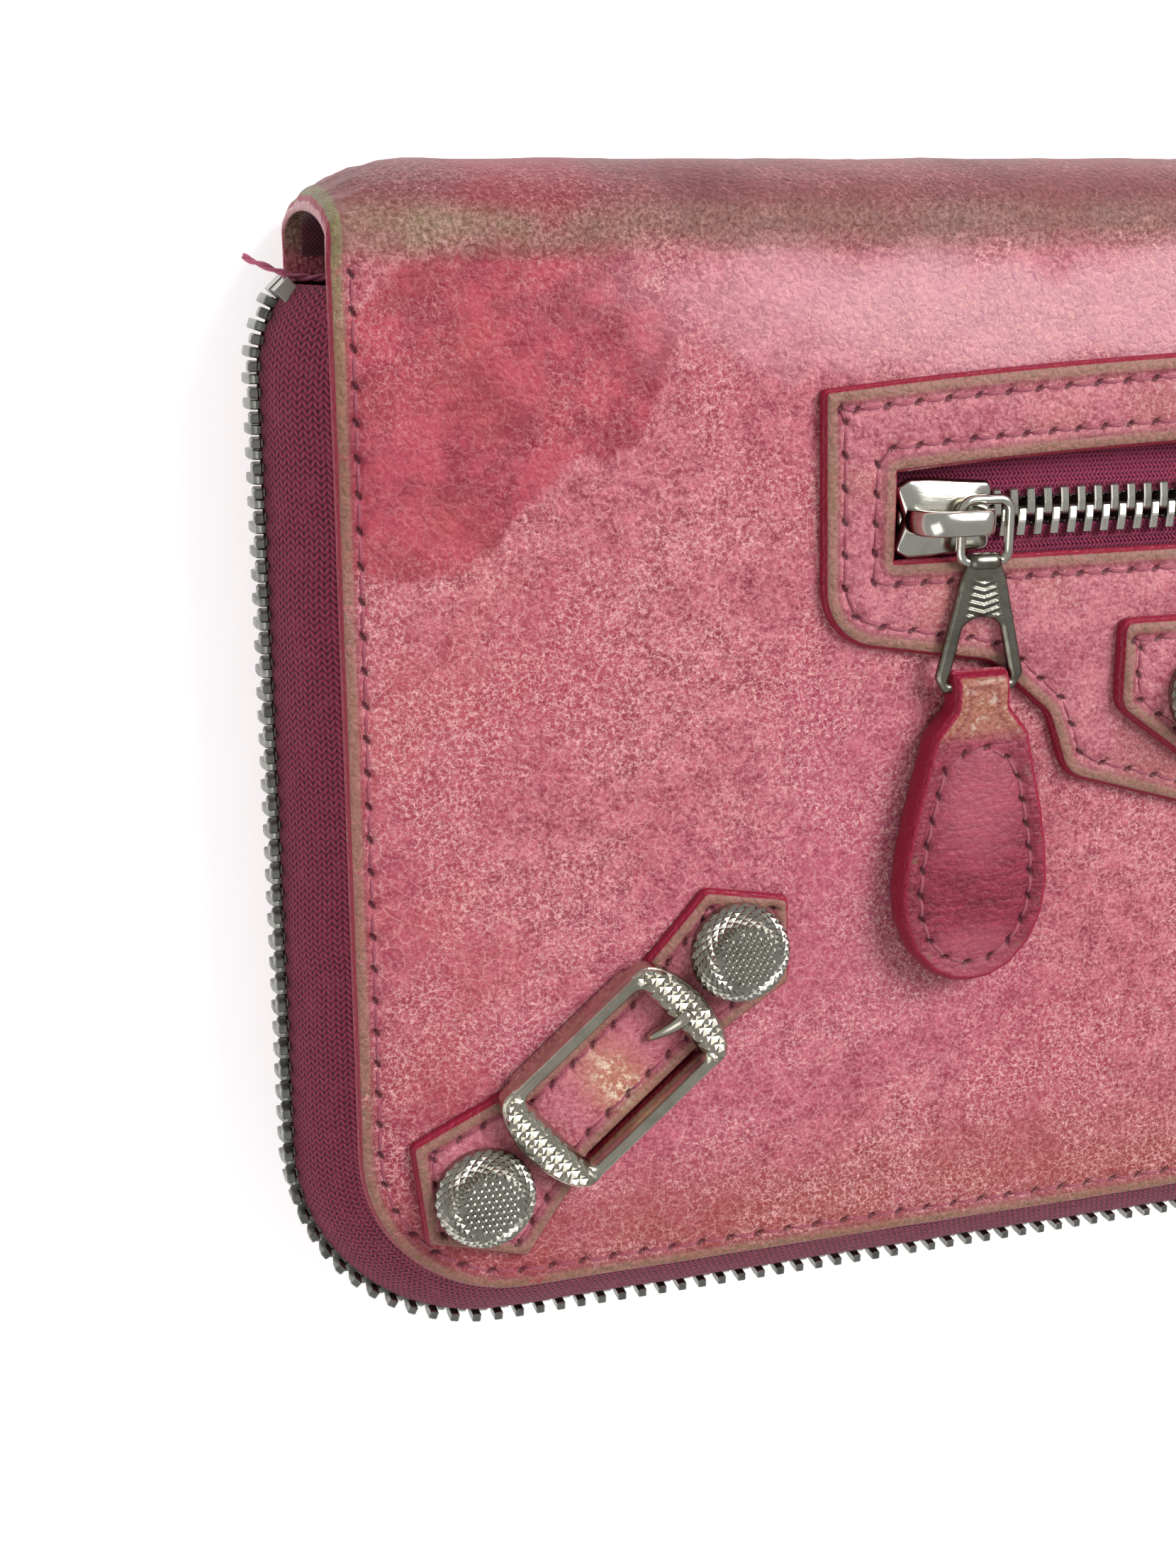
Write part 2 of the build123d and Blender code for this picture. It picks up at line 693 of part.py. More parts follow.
# ---------------------------------------------------------------- coin pocket page
page_hinge_edge = 40.0
page_width = page_hinge_edge - page_mouth
page_middle = (page_hinge_edge + page_mouth) / 2
coin_slot_half_length = 83.6
coin_slot_half_height = 5.0
coin_rim_width = 2.0


def page_sheet(level, amount):
    """Full panel of the page."""
    with BuildPart() as sheet:
        with BuildSketch(Plane.XY.offset(level)):
            with Locations((0, page_middle)):
                RectangleRounded(2 * page_half_length, page_width, 4)
        extrude(amount=amount)
    return sheet


keep(page_sheet(page_back, coin_panel), "coin_back_panel")

with BuildPart() as coin_front_panel:
    add(page_sheet(page_front - coin_panel, coin_panel).part)
    with BuildSketch(Plane.XY.offset(page_front - coin_panel)):
        with Locations((0, coin_chain_y)):
            Rectangle(2 * coin_slot_half_length, 2 * coin_slot_half_height)
    extrude(amount=coin_panel, mode=Mode.SUBTRACT)
keep(coin_front_panel, "coin_front_panel")

with BuildPart() as coin_rim:
    rim_height = page_front - page_back - 2 * coin_panel
    add(page_sheet(page_back + coin_panel, rim_height).part)
    with BuildSketch(Plane.XY.offset(page_back + coin_panel)):
        with Locations((0, page_middle)):
            Rectangle(2 * (page_half_length - coin_rim_width), page_width - 2 * coin_rim_width)
    extrude(amount=rim_height, mode=Mode.SUBTRACT)
keep(coin_rim, "coin_rim")

coin_tape_level = page_front - tape
coin_tooth = (pocket_tooth[0], 2.0, pocket_tooth[2])
coin_seat = Plane(origin=(coin_rest, coin_chain_y, coin_tape_level + tape / 2), x_dir=(-1, 0, 0),
                  z_dir=(0, 0, 1))
coin_row_start = -1.4
coin_row_end = coin_slot_half_length - 3 + coin_rest
coin_tape_half = coin_slot_half_length - 0.2
coin_tape_edge = coin_slot_half_height - 0.1
for name, side in (("upper", 1), ("lower", -1)):
    keep(zip_tape(coin_tape_level, coin_tape_half, side, coin_tape_edge, coin_chain_y),
         f"coin_tape_{name}")
    keep(straight_row(coin_seat, coin_tooth, coin_row_start, coin_row_end, -side,
                      0.25 - 0.25 * side), f"coin_teeth_{name}")

coin_bridge_gap = 1.3
coin_bridge_sheet = 0.6
coin_wire = 0.4
coin_ring_half = 2.75
coin_pull_length = 15.0
coin_slider_reach = 3.3   # from the seat to the bridge's leg that the pull hangs on
coin_top = coin_tooth[1] / 2 + plate_gap + plate_sheet
keep(slider(coin_seat, coin_tooth, coin_bridge_gap, coin_bridge_sheet), "coin_slider")

with BuildPart() as coin_pull:
    coin_pull_plane = Plane(origin=above(coin_seat, coin_slider_reach, 0,
                                         coin_top + coin_bridge_gap / 2 - coin_wire),
                            x_dir=coin_seat.x_dir, z_dir=(0, 0, 1))
    with BuildSketch(coin_pull_plane):
        RectangleRounded(2 * (coin_ring_half + coin_wire), 2 * (coin_ring_half + coin_wire), 1.2)
        with Locations((0, -coin_pull_length / 2 - 1)):
            RectangleRounded(4.2, coin_pull_length - 2, 1.0)
        RectangleRounded(2 * (coin_ring_half - coin_wire), 2 * (coin_ring_half - coin_wire), 0.6,
                         mode=Mode.SUBTRACT)
    extrude(amount=2 * coin_wire)
keep(coin_pull, "coin_pull")


# ---------------------------------------------------------------- card panels and gussets
def card_sheet(level, edge):
    """Sheet of a card panel, from a free edge up to the spine side."""
    with BuildPart() as sheet:
        with BuildSketch(Plane.XY.offset(level)):
            with Locations((0, (card_root + edge) / 2)):
                Rectangle(2 * card_half_length, card_root - edge)
        extrude(amount=card_leaf)
    return sheet


card_low = leather + tape + lining + 0.05
card_high = front_lining_level - 0.05
for name, start, step in (("back", card_low, card_leaf), ("front", card_high - card_leaf, -card_leaf)):
    keep(card_sheet(start, card_edge), f"{name}_card_backing")
    for leaf in range(card_leaves):
        keep(card_sheet(start + (leaf + 1) * step, card_edge + 4 + leaf * card_step),
             f"{name}_card_leaf_{leaf + 1}")

gusset_depth = 58.0
for name, side in (("left", -1), ("right", 1)):
    with BuildPart() as gusset:
        with BuildSketch(Plane.XZ.offset(-card_root)):
            with BuildLine():
                Polyline((side * 93, 2.2), (side * 83, 6.2), (side * 89.6, 9.2),
                         (side * 83, 12.4), (side * 93, 16.3))
            trace(line_width=lining)
        extrude(amount=gusset_depth)
    keep(gusset, f"{name}_gusset")
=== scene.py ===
import math

import bmesh
import bpy
import numpy as np
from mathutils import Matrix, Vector, noise
from mathutils.geometry import delaunay_2d_cdt


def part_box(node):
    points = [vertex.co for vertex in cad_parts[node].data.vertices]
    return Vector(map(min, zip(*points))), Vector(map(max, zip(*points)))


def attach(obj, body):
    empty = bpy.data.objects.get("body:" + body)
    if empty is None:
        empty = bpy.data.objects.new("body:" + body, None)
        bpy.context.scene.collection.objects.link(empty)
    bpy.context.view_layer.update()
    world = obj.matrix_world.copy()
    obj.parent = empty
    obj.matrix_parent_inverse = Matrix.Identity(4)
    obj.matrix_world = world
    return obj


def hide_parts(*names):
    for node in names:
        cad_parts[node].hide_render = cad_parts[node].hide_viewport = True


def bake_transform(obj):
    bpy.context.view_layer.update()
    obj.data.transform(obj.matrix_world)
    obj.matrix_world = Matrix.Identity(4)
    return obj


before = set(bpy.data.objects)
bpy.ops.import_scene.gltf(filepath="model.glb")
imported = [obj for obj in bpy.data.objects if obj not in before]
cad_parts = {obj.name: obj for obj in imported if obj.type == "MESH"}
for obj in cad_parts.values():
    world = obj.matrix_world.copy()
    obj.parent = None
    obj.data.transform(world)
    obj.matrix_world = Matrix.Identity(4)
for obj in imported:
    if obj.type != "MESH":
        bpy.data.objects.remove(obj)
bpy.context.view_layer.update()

# The long wallet's looks. Lengths are in millimetres until a mesh is made; X runs along the spine,
# +Y points to the spine and +Z out of the front cover.
MM = 0.001


def low_of(node):
    """Lowest corner of a CAD node."""
    return np.array(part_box(node)[0]) / MM


def high_of(node):
    """Highest corner of a CAD node."""
    return np.array(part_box(node)[1]) / MM


leather = 1.2
half_length = high_of("front_cover")[0]
front_face = high_of("front_cover")[2]
opening_edge = low_of("front_cover")[1]
spine_line = high_of("front_cover")[1]
spine_depth = high_of("spine")[1] - spine_line
mid = front_face / 2
corner_radius = 15.0
chain_y = 19.3                 # the pocket zip's middle line
strap_centre = np.array((72.3, -29.0))
strap_angle = math.radians(40.6)
strap_stud_reach = 15.8
tab_studs = ((-14.0, 2.3), (14.0, 2.3))
tab_leather = 1.5
main_pitch = 2.1               # tooth to tooth along one row
small_pitch = 1.7
main_tooth = (0.85, 2.6, 2.55)     # along the row, through the tape, across the zip
pocket_tooth = (0.8, 2.2, 2.65)
coin_tooth = (0.8, 2.0, 2.65)
tooth_mesh = 0.5               # how far a small tooth's head passes the zip's middle line
pocket_chain_level = 20.45
coin_chain_y = -33.0
coin_chain_level = 10.35
ring_drop = 5.5                # from a slider's bridge to its pull plate's barrel
leather_drop = 16.8            # from the bridge to the fork's bar
pull_half = 1.38               # half thickness of a leather pull


# ---------------------------------------------------------------- finishes
def linear(code):
    """Linear colour of a six-figure colour code."""
    shares = [int(code[i:i + 2], 16) / 255 for i in (0, 2, 4)]
    return [s / 12.92 if s <= 0.04045 else ((s + 0.055) / 1.055) ** 2.4 for s in shares] + [1.0]


class Value:
    """A number, colour or vector that varies over a surface. Sums on numbers add Math nodes."""

    def __init__(self, finish, socket):
        self.finish = finish
        self.socket = socket

    def math(self, operation, *others):
        return self.finish.node("ShaderNodeMath", {"operation": operation},
                                dict(enumerate((self, *others))))

    def __add__(self, other):
        return self.math("ADD", other)

    __radd__ = __add__

    def __mul__(self, other):
        return self.math("MULTIPLY", other)

    __rmul__ = __mul__

    def __sub__(self, other):
        return self.math("SUBTRACT", other)

    def __rsub__(self, other):
        return self.math("MULTIPLY_ADD", -1.0, other)

    def __pow__(self, other):
        return self.math("POWER", other)

    def step(self, low, high):
        """0 below low, 1 above high, smooth between."""
        return self.finish.node("ShaderNodeMapRange", {"interpolation_type": "SMOOTHSTEP"},
                                {"Value": self, "From Min": low, "From Max": high})


class Finish:
    """A material being made from nodes round its one shader."""

    def __init__(self, name, fixed):
        self.material = bpy.data.materials.new(name)
        self.material.use_nodes = True
        self.nodes = self.material.node_tree.nodes
        self.links = self.material.node_tree.links
        self.shader = self.nodes["Principled BSDF"]
        for socket, value in fixed.items():
            self.shader.inputs[socket].default_value = value

    def feed(self, socket, value):
        if isinstance(value, Value):
            self.links.new(value.socket, socket)
        else:
            socket.default_value = value

    def node(self, kind, settings, inputs, output=0):
        """Adds a node: its type, its settings, then what its sockets take."""
        node = self.nodes.new(kind)
        for setting, value in settings.items():
            setattr(node, setting, value)
        for socket, value in inputs.items():
            self.feed(node.inputs[socket], value)
        return Value(self, node.outputs[output])

    def mark(self, name, output="Fac"):
        return self.node("ShaderNodeAttribute", {"attribute_name": name}, {}, output)

    def noise(self, at, scale, detail=2.0, roughness=0.5, output="Fac"):
        return self.node("ShaderNodeTexNoise", {}, {
            "Vector": at, "Scale": scale, "Detail": detail, "Roughness": roughness}, output)

    def crease(self, at, scale):
        """Distance from a web of creases."""
        return self.node("ShaderNodeTexVoronoi", {"feature": "DISTANCE_TO_EDGE"},
                         {"Vector": at, "Scale": scale})

    def moved(self, at, amount, scale):
        """Places shifted by up to about an amount, in a pattern of a scale."""
        drift = self.noise(at, scale, 2.0, 0.5, "Color")
        centred = self.node("ShaderNodeVectorMath", {"operation": "SUBTRACT"},
                            {0: drift, 1: (0.5, 0.5, 0.5)})
        return self.node("ShaderNodeVectorMath", {"operation": "MULTIPLY_ADD"},
                         {0: centred, 1: (amount, amount, amount), 2: at})

    def split(self, at):
        return [self.node("ShaderNodeSeparateXYZ", {}, {0: at}, axis) for axis in range(3)]

    def blend(self, share, under, over, how="MIX"):
        return self.node("ShaderNodeMix", {"data_type": "RGBA", "blend_type": how},
                         {0: share, 6: under, 7: over}, 2)

    def relief(self, height, depth, strength=1.0, edge=None):
        """Bump of a depth in millimetres, over an optional rounded edge."""
        inputs = {"Height": height, "Distance": depth * MM, "Strength": strength}
        if edge:
            inputs["Normal"] = edge
        self.feed(self.shader.inputs["Normal"], self.node("ShaderNodeBump", {}, inputs))

    def paint(self, colour):
        self.feed(self.shader.inputs["Base Color"], colour)

    def polish(self, roughness):
        self.feed(self.shader.inputs["Roughness"], roughness)


def blot(place, centre, size, turn, soft=0.2):
    """Share of a stain: an oval in the covers' plane with a soft edge."""
    x, y, _ = place
    cosine, sine = math.cos(turn), math.sin(turn)
    off_x, off_y = x - centre[0], y - centre[1]
    along = (off_x * cosine + off_y * sine) * (1 / size[0])
    across = (off_y * cosine - off_x * sine) * (1 / size[1])
    return 1 - ((along * along + across * across) ** 0.5).step(1 - soft, 1 + soft)


CRIMSON = linear("8a1030")
TAN = linear("8c6656")
OLIVE = linear("6d5c42")


def leather_base(name, tones, web_share, gloss):
    """Mottled stained leather with a web of pale creases. Returns the finish and its layers."""
    skin = Finish(name, {"Specular IOR Level": 0.32, "Sheen Weight": 0.03, "Sheen Roughness": 0.45})
    lay = skin.mark("lay", "Vector")
    cloud = skin.noise(lay, 0.05, 3)
    mottle = skin.noise(lay, 0.45, 6, 0.75)
    fleck = skin.noise(lay, 2.4, 4, 0.75)
    patches = skin.noise(lay, 0.1, 4, 0.6).step(0.4, 0.6)
    web = 1 - skin.crease(skin.moved(lay, 0.9, 0.9), 0.55).step(0.0, 0.035)
    hairs = 1 - skin.crease(skin.moved(lay, 0.9, 2.2), 1.3).step(0.0, 0.1)
    fine_hairs = 1 - skin.crease(skin.moved(lay, 0.5, 3.4), 2.1).step(0.0, 0.13)
    speckle = (mottle * 0.62 + fleck * 0.38).step(0.36, 0.64)
    colour = skin.blend(speckle, linear(tones[0]), linear(tones[1]))
    colour = skin.blend(cloud.step(0.5, 0.66) * 0.45, colour, linear(tones[2]))
    colour = skin.blend(fleck.step(0.5, 0.75) * 0.4, colour, linear(tones[3]))
    broken = fleck.step(0.36, 0.56) * (0.25 + patches * 0.75)
    lines = (web * 0.35 * (1 - patches) + (hairs * 0.85 + fine_hairs * 0.6) * broken) * web_share
    gloss_share = gloss + fleck * 0.2 + mottle * 0.15
    return skin, lay, colour, lines, gloss_share, fleck


def leather_close(skin, lay, colour, lines, gloss, fleck, web_tone, wear, border_tone=TAN, painted=0.2):
    """Lays creases, worn rim, painted edge and painted shade in the needle holes over a leather's colour.
    """
    rim, wall, pit = skin.mark("rim"), skin.mark("wall"), skin.mark("pit")
    rubbed = skin.noise(lay, 0.32, 4, 0.7)
    fuzz = skin.noise(lay, 2.6, 3, 0.7)
    colour = skin.blend(lines, colour, linear(web_tone))
    border = (1 - rim.step(0.75, 1.45)) * (rubbed + fuzz * 0.35).step(0.72 - wear, 0.92 - wear)
    colour = skin.blend(border * 0.75, colour, skin.blend(fuzz.step(0.42, 0.6), border_tone, OLIVE))
    inner_line = rim.step(0.9, 1.2) * (1 - rim.step(1.2, 1.65))
    colour = skin.blend(inner_line * 0.45, colour, linear("6d1f30"))
    colour = skin.blend((1 - rim.step(painted * 0.6, painted)) * (1 - wall), colour, CRIMSON)
    chipped = (rubbed * 0.6 + fuzz * 0.4).step(0.6, 0.68)
    edge = skin.blend(chipped * 0.8, CRIMSON, TAN)
    colour = skin.blend(wall.step(0.2, 0.8), colour, edge)
    # Painted shade: the needle holes are darkened.
    colour = skin.blend(pit.step(0.15, 0.8) * 0.85, colour, linear("4a1020"))
    skin.paint(colour)
    skin.polish(skin.node("ShaderNodeMix", {"data_type": "FLOAT"},
                          {0: wall, 2: gloss, 3: 0.28}))
    pebble = skin.crease(skin.moved(lay, 0.5, 1.5), 1.15).step(0.0, 0.3)
    skin.relief(pebble * 0.45 + fleck * 0.6 + rubbed * 0.35 - lines * 0.3, 0.16, 0.8)
    return skin


def cover_leather():
    """The outer skin: dark stains at the upper left, peach by the opening edge, olive at the spine."""
    skin, lay, colour, lines, gloss, fleck = leather_base(
        "stained rose cover leather", ("7f2337", "bd6572", "9a3149", "cc8388"), 1.0, 0.36)
    place = skin.split(skin.moved(lay, 9.0, 0.12))
    x, y, z = skin.split(lay)
    front = z.step(mid - 3, mid + 3)
    wide = skin.noise(lay, 0.09, 4, 0.6)
    stain = blot(place, (-81, 33), (15.5, 10.5), 0.35, 0.06) + blot(place, (-89, 25), (10, 9), 0.3, 0.06)
    crimson = skin.blend(skin.noise(lay, 0.25, 4, 0.65).step(0.4, 0.62), linear("80162d"), linear("a83a4c"))
    colour = skin.blend(stain.math("MINIMUM", 1.0) * front * 0.85, colour, crimson)
    drips = blot(place, (-79, 6), (5, 11), -0.5, 0.7) + blot(place, (-90, -8), (6, 22), 0.1, 0.8)
    colour = skin.blend(drips.math("MINIMUM", 1.0) * front * 0.5, colour, linear("a03a50"))
    # Painted shadow: magenta shade beside the pocket pull and under the left corner strap.
    painted_shadow = blot(place, (-44, -14), (9, 20), 0.4, 0.7) + blot(place, (-70, -33), (26, 15), 0.7, 0.7)
    colour = skin.blend(painted_shadow * front * 0.35, colour, linear("ac4a6a"))
    # Painted sheen: a pale broad highlight along the upper front, where the roughness is lowered too.
    painted_sheen = blot(place, (-32, 37), (32, 5), -0.05, 0.6) + blot(place, (5, 38), (30, 6), 0.0, 0.6)
    colour = skin.blend(painted_sheen.math("MINIMUM", 1.0) * front * 0.5, colour, linear("d3a3ae"))
    low_band = (1 - y.step(opening_edge + 3, opening_edge + 15)) * (wide + 0.4).step(0.6, 0.95)
    colour = skin.blend(low_band * 0.85, colour, linear("8a3a34"))
    low_corner = blot(place, (-90, -40), (10, 16), 0.4, 0.7)
    colour = skin.blend(low_corner * front * 0.6, colour, linear("80182f"))
    flow = (1 - x.step(-90, -62)) * wide.step(0.4, 0.7)
    colour = skin.blend(flow * front * 0.35, colour, linear("ad4a44"))
    # Painted shade: the tone along the spine's turn is darkened.
    ridge = y.step(spine_line - 2.5, spine_line + 1.0)
    colour = skin.blend(ridge * 0.85, colour, skin.blend(wide.step(0.42, 0.6),
                                                         linear("5f2422"), linear("4c0f1a")))
    band = y.step(spine_line - 2.8, spine_line - 0.3) * (1 - y.step(spine_line + 1.2, spine_line + 3.6))
    end_wear = 0.45 + (1 - x.step(-90, -66)) * 0.55
    olive = band * end_wear * (wide + fleck * 0.3).step(0.4, 0.75)
    colour = skin.blend(olive * 0.85, colour, skin.blend(fleck.step(0.4, 0.65), linear("6f5a3e"),
                                                          linear("9d8270")))
    blotch = blot(place, (-78, 48), (7, 3), 0, 0.5)
    colour = skin.blend(blotch * 0.7, colour, linear("7d1528"))
    green = y.step(26, 43) * (1 - x.step(-80, -60))
    border_tone = skin.blend(green, TAN, linear("6f7a48"))
    # Creases fade under the stains and under the painted shade along the spine.
    lines = lines * (1 - stain.math("MINIMUM", 1.0) * front * 0.6) * (1 - ridge * 0.7)
    return leather_close(skin, lay, colour, lines, gloss - painted_sheen * 0.06, fleck, "e0a4a2", 0.3, border_tone)


def trim_leather():
    """Surround and tab: paler, with the border rubbed to tan."""
    skin, lay, colour, lines, gloss, fleck = leather_base(
        "rubbed rose trim leather", ("8a3548", "bd6f79", "8c3548", "cf9592"), 0.45, 0.34)
    wide = skin.noise(lay, 0.1, 3)
    colour = skin.blend(wide.step(0.5, 0.7) * 0.4, colour, linear("a4604f"))
    return leather_close(skin, lay, colour, lines, gloss, fleck, "dcaaa6", 0.45)


def strap_leather():
    """Corner straps: rose with a pale scuff where the buckle has rubbed."""
    skin, lay, colour, lines, gloss, fleck = leather_base(
        "scuffed rose strap leather", ("8c364a", "bd6c78", "8c3246", "cf9592"), 0.4, 0.34)
    place = skin.split(skin.moved(lay, 2.2, 0.9))
    scratches = skin.noise(lay, 1.3, 4, 0.8)
    for side in (-1, 1):
        centre = (side * 71.6, -30.2)
        rubbed = blot(place, centre, (4.4, 2.6), side * 0.9, 0.7)
        colour = skin.blend(rubbed * 0.75, colour, linear("a5694a"))
        white = blot(place, centre, (3.0, 1.5), side * 0.9, 0.7) * scratches.step(0.45, 0.6)
        colour = skin.blend(white, colour, linear("e0cdb4"))
    return leather_close(skin, lay, colour, lines, gloss, fleck, "d8a09c", 0.4)


def pull_leather():
    """Zip pulls: deep raspberry, glossy, finely wrinkled across, worn olive at the fold."""
    skin, lay, colour, lines, gloss, fleck = leather_base(
        "glossy raspberry pull leather", ("5f0b21", "80203a", "580a1c", "963a4a"), 0.2, 0.28)
    local = skin.mark("local", "Vector")
    x, y, _ = skin.split(local)
    stretched = skin.node("ShaderNodeVectorMath", {"operation": "MULTIPLY"},
                          {0: local, 1: (0.35, 3.2, 1.0)})
    wrinkle = skin.noise(stretched, 0.9, 4, 0.6)
    colour = skin.blend(wrinkle.step(0.42, 0.65) * 0.45, colour, linear("a0374f"))
    neck = blot((x, y, None), (0, -10), (4.0, 5.5), 0, 0.7)
    foot = blot((x, y, None), (0, -25), (4.5, 2.4), 0, 0.6)
    pale = neck + foot
    colour = skin.blend(pale * 0.4, colour, linear("bd6273"))
    fold = y.step(-5.4, -3.0)
    colour = skin.blend(fold * 0.75, colour, skin.blend(fleck.step(0.35, 0.6), linear("8a4e34"),
                                                         linear("a8785c")))
    scuff = fold * skin.noise(lay, 1.1, 4, 0.7).step(0.54, 0.64)
    colour = skin.blend(scuff * 0.7, colour, linear("bda898"))
    return leather_close(skin, lay, colour, lines, gloss, fleck + wrinkle * 1.2, "c07a82", 0.0,
                         painted=0.5)


def plain_leather(name, dark, light):
    """Smooth leather of the card panels and gussets."""
    skin, lay, colour, lines, gloss, fleck = leather_base(name, (dark, light, dark, light), 0.1, 0.4)
    return leather_close(skin, lay, colour, lines, gloss, fleck, light, -0.2)


def knit_cloth(name, dark, light, rib=0.62, strand=0.78):
    """Zip tape: ribs along the tape, each of slanting strands that mirror their neighbours."""
    cloth = Finish(name, {"Roughness": 0.85, "Sheen Weight": 0.08, "Sheen Roughness": 0.5,
                          "Specular IOR Level": 0.15})
    weave = cloth.moved(cloth.mark("weave", "Vector"), 0.16, 1.6)
    along, across, _ = cloth.split(weave)
    zigzag = (across * (1 / rib)).math("PINGPONG", 1.0)
    slope = (along * (1 / strand) + zigzag * 0.85) * (2 * math.pi)
    strands = slope.math("SINE") * 0.5 + 0.5
    ribs = (across * (math.pi / rib)).math("SINE").math("ABSOLUTE")
    height = strands * 0.6 + ribs * 0.4
    worn = cloth.noise(weave, 0.5, 4, 0.7)
    fluff = cloth.noise(weave, 4.5, 3, 0.7)
    # Painted shade: the grooves between strands and ribs are darker, the crests lighter.
    colour = cloth.blend(height.step(0.15, 0.85), linear(dark), linear(light))
    colour = cloth.blend(worn.step(0.45, 0.7) * 0.4, colour, linear("8f3550"))
    colour = cloth.blend(fluff.step(0.6, 0.72) * 0.4, colour, linear("b3627a"))
    cloth.paint(colour)
    cloth.relief(height + fluff * 0.4, 0.22, 0.9)
    return cloth


def plain_cloth(name, dark, light):
    """Plain-woven lining cloth."""
    cloth = Finish(name, {"Roughness": 0.8, "Sheen Weight": 0.25})
    lay = cloth.mark("lay", "Vector")
    x, y, _ = cloth.split(lay)
    warp = (x * (2 * math.pi / 0.42)).math("SINE")
    weft = (y * (2 * math.pi / 0.42)).math("SINE")
    height = warp * weft * 0.5 + 0.5
    slub = cloth.noise(lay, 0.8, 4, 0.6)
    # Partly painted shade from the weave's relief, partly slubs in the yarn.
    colour = cloth.blend(height * 0.5 + slub.step(0.3, 0.7) * 0.5, linear(dark), linear(light))
    cloth.paint(colour)
    cloth.relief(height + slub * 0.5, 0.1, 0.6)
    return cloth


def bonded_board():
    """Raw edge and face of the stiffening board."""
    board = Finish("bonded stiffening board", {"Roughness": 0.9})
    at = board.node("ShaderNodeTexCoord", {}, {}, "Object")
    fibres = board.noise(at, 2500.0, 5, 0.7)
    board.paint(board.blend(fibres, linear("7a6248"), linear("a98f6e")))
    board.relief(fibres, 0.1, 0.5)
    return board


def plated_metal(name, bright, dull, roughness, tarnish=0.3, edge_round=0.0):
    """Plated fitting: cloudy tarnish, fine rubbing marks and softened edges."""
    metal = Finish(name, {"Metallic": 1.0})
    at = metal.node("ShaderNodeTexCoord", {}, {}, "Object")
    cloud = metal.noise(at, 380.0, 4, 0.6)
    rubbing = metal.node("ShaderNodeVectorMath", {"operation": "MULTIPLY"},
                         {0: at, 1: (1.0, 7.0, 2.0)})
    marks = metal.noise(rubbing, 1500.0, 3, 0.7)
    colour = metal.blend(cloud.step(0.5 - tarnish * 0.2, 0.75) * tarnish, linear(bright), linear(dull))
    metal.paint(colour)
    metal.polish(cloud * 0.12 + marks * 0.14 + (roughness - 0.1))
    edge = None
    if edge_round:
        edge = metal.node("ShaderNodeBevel", {"samples": 4}, {"Radius": edge_round * MM})
    metal.relief(marks, 0.02, 0.3, edge)
    return metal


def spun_thread(name, dark, light):
    """Stitching thread with its twist."""
    thread = Finish(name, {"Roughness": 0.6, "Sheen Weight": 0.3})
    lay = thread.mark("lay", "Vector")
    twist = thread.noise(lay, 2.2, 3, 0.6)
    thread.paint(thread.blend(twist, linear(dark), linear(light)))
    thread.relief(twist, 0.1, 0.6)
    return thread


COVER = cover_leather()
TRIM = trim_leather()
STRAP = strap_leather()
PULL = pull_leather()
CARD = plain_leather("smooth raspberry card leather", "6d1c34", "8f3a50")
KNIT = knit_cloth("raspberry zip tape", "3c0a1a", "8e2c4a", 0.55, 0.6)
FINE_KNIT = knit_cloth("fine raspberry zip tape", "470e20", "98375a", 0.42, 0.42)
LINING = plain_cloth("wine lining cloth", "3f1220", "6b2a3c")
BOARD = bonded_board()
STITCH = spun_thread("rose stitching thread", "6f2035", "a84c60")
THREAD = spun_thread("loose pink thread", "a03a5c", "cf6f8e")
TOOTH = plated_metal("dark nickel teeth", "8f8f89", "35352f", 0.26, 0.6)
BAR = plated_metal("bright nickel teeth", "c4c1b8", "6b675c", 0.22, 0.4)
NICKEL = plated_metal("polished nickel", "c6c4ba", "837e6e", 0.14, 0.35)
ANTIQUE = plated_metal("antique nickel pull", "7d7a70", "403e36", 0.26, 0.6)
BUCKLE = plated_metal("worn buckle nickel", "b9b4a6", "776f5e", 0.18, 0.4)
STUD = plated_metal("faceted stud nickel", "a5a299", "5b574c", 0.18, 0.45)
PLAIN = plated_metal("plain plated steel", "a9a7a0", "6d6a62", 0.3, 0.3, 0.12)


# ---------------------------------------------------------------- lines and outlines
def unit(vectors):
    """Vectors cut to length 1."""
    return vectors / np.maximum(np.linalg.norm(vectors, axis=-1, keepdims=True), 1e-9)


def bell(values):
    """1 at zero, falling smoothly away on both sides."""
    return np.exp(-np.square(values))


def smooth(values):
    """Smooth rise from 0 to 1."""
    values = np.clip(values, 0, 1)
    return values * values * (3 - 2 * values)


def resample(line, step, closed=True):
    """Points about a step apart along a line, its own corners kept."""
    line = np.asarray(line, float)
    ends = np.roll(line, -1, 0) if closed else line[1:]
    starts = line if closed else line[:-1]
    points = []
    for start, end in zip(starts, ends):
        count = max(1, round(np.linalg.norm(end - start) / step))
        points += [start + (end - start) * number / count for number in range(count)]
    if not closed:
        points.append(line[-1])
    return np.array(points)


def rounded(corners, radii, step=0.7):
    """Closed outline with every corner rounded to its own radius."""
    corners = np.asarray(corners, float)
    outline = []
    for number, (corner, radius) in enumerate(zip(corners, radii)):
        before = unit(corners[number - 1] - corner)
        after = unit(corners[(number + 1) % len(corners)] - corner)
        half = math.acos(np.clip(before @ after, -1, 1)) / 2
        centre = corner + unit(before + after) * radius / math.sin(half)
        first = corner + before * radius / math.tan(half) - centre
        last = corner + after * radius / math.tan(half) - centre
        sweep_angle = math.pi - 2 * half
        turn = math.copysign(sweep_angle, first[0] * last[1] - first[1] * last[0])
        count = max(2, math.ceil(radius * sweep_angle / step))
        for share in np.linspace(0, turn, count + 1):
            cosine, sine = math.cos(share), math.sin(share)
            outline.append(centre + (first[0] * cosine - first[1] * sine,
                                     first[0] * sine + first[1] * cosine))
    return np.array(outline)


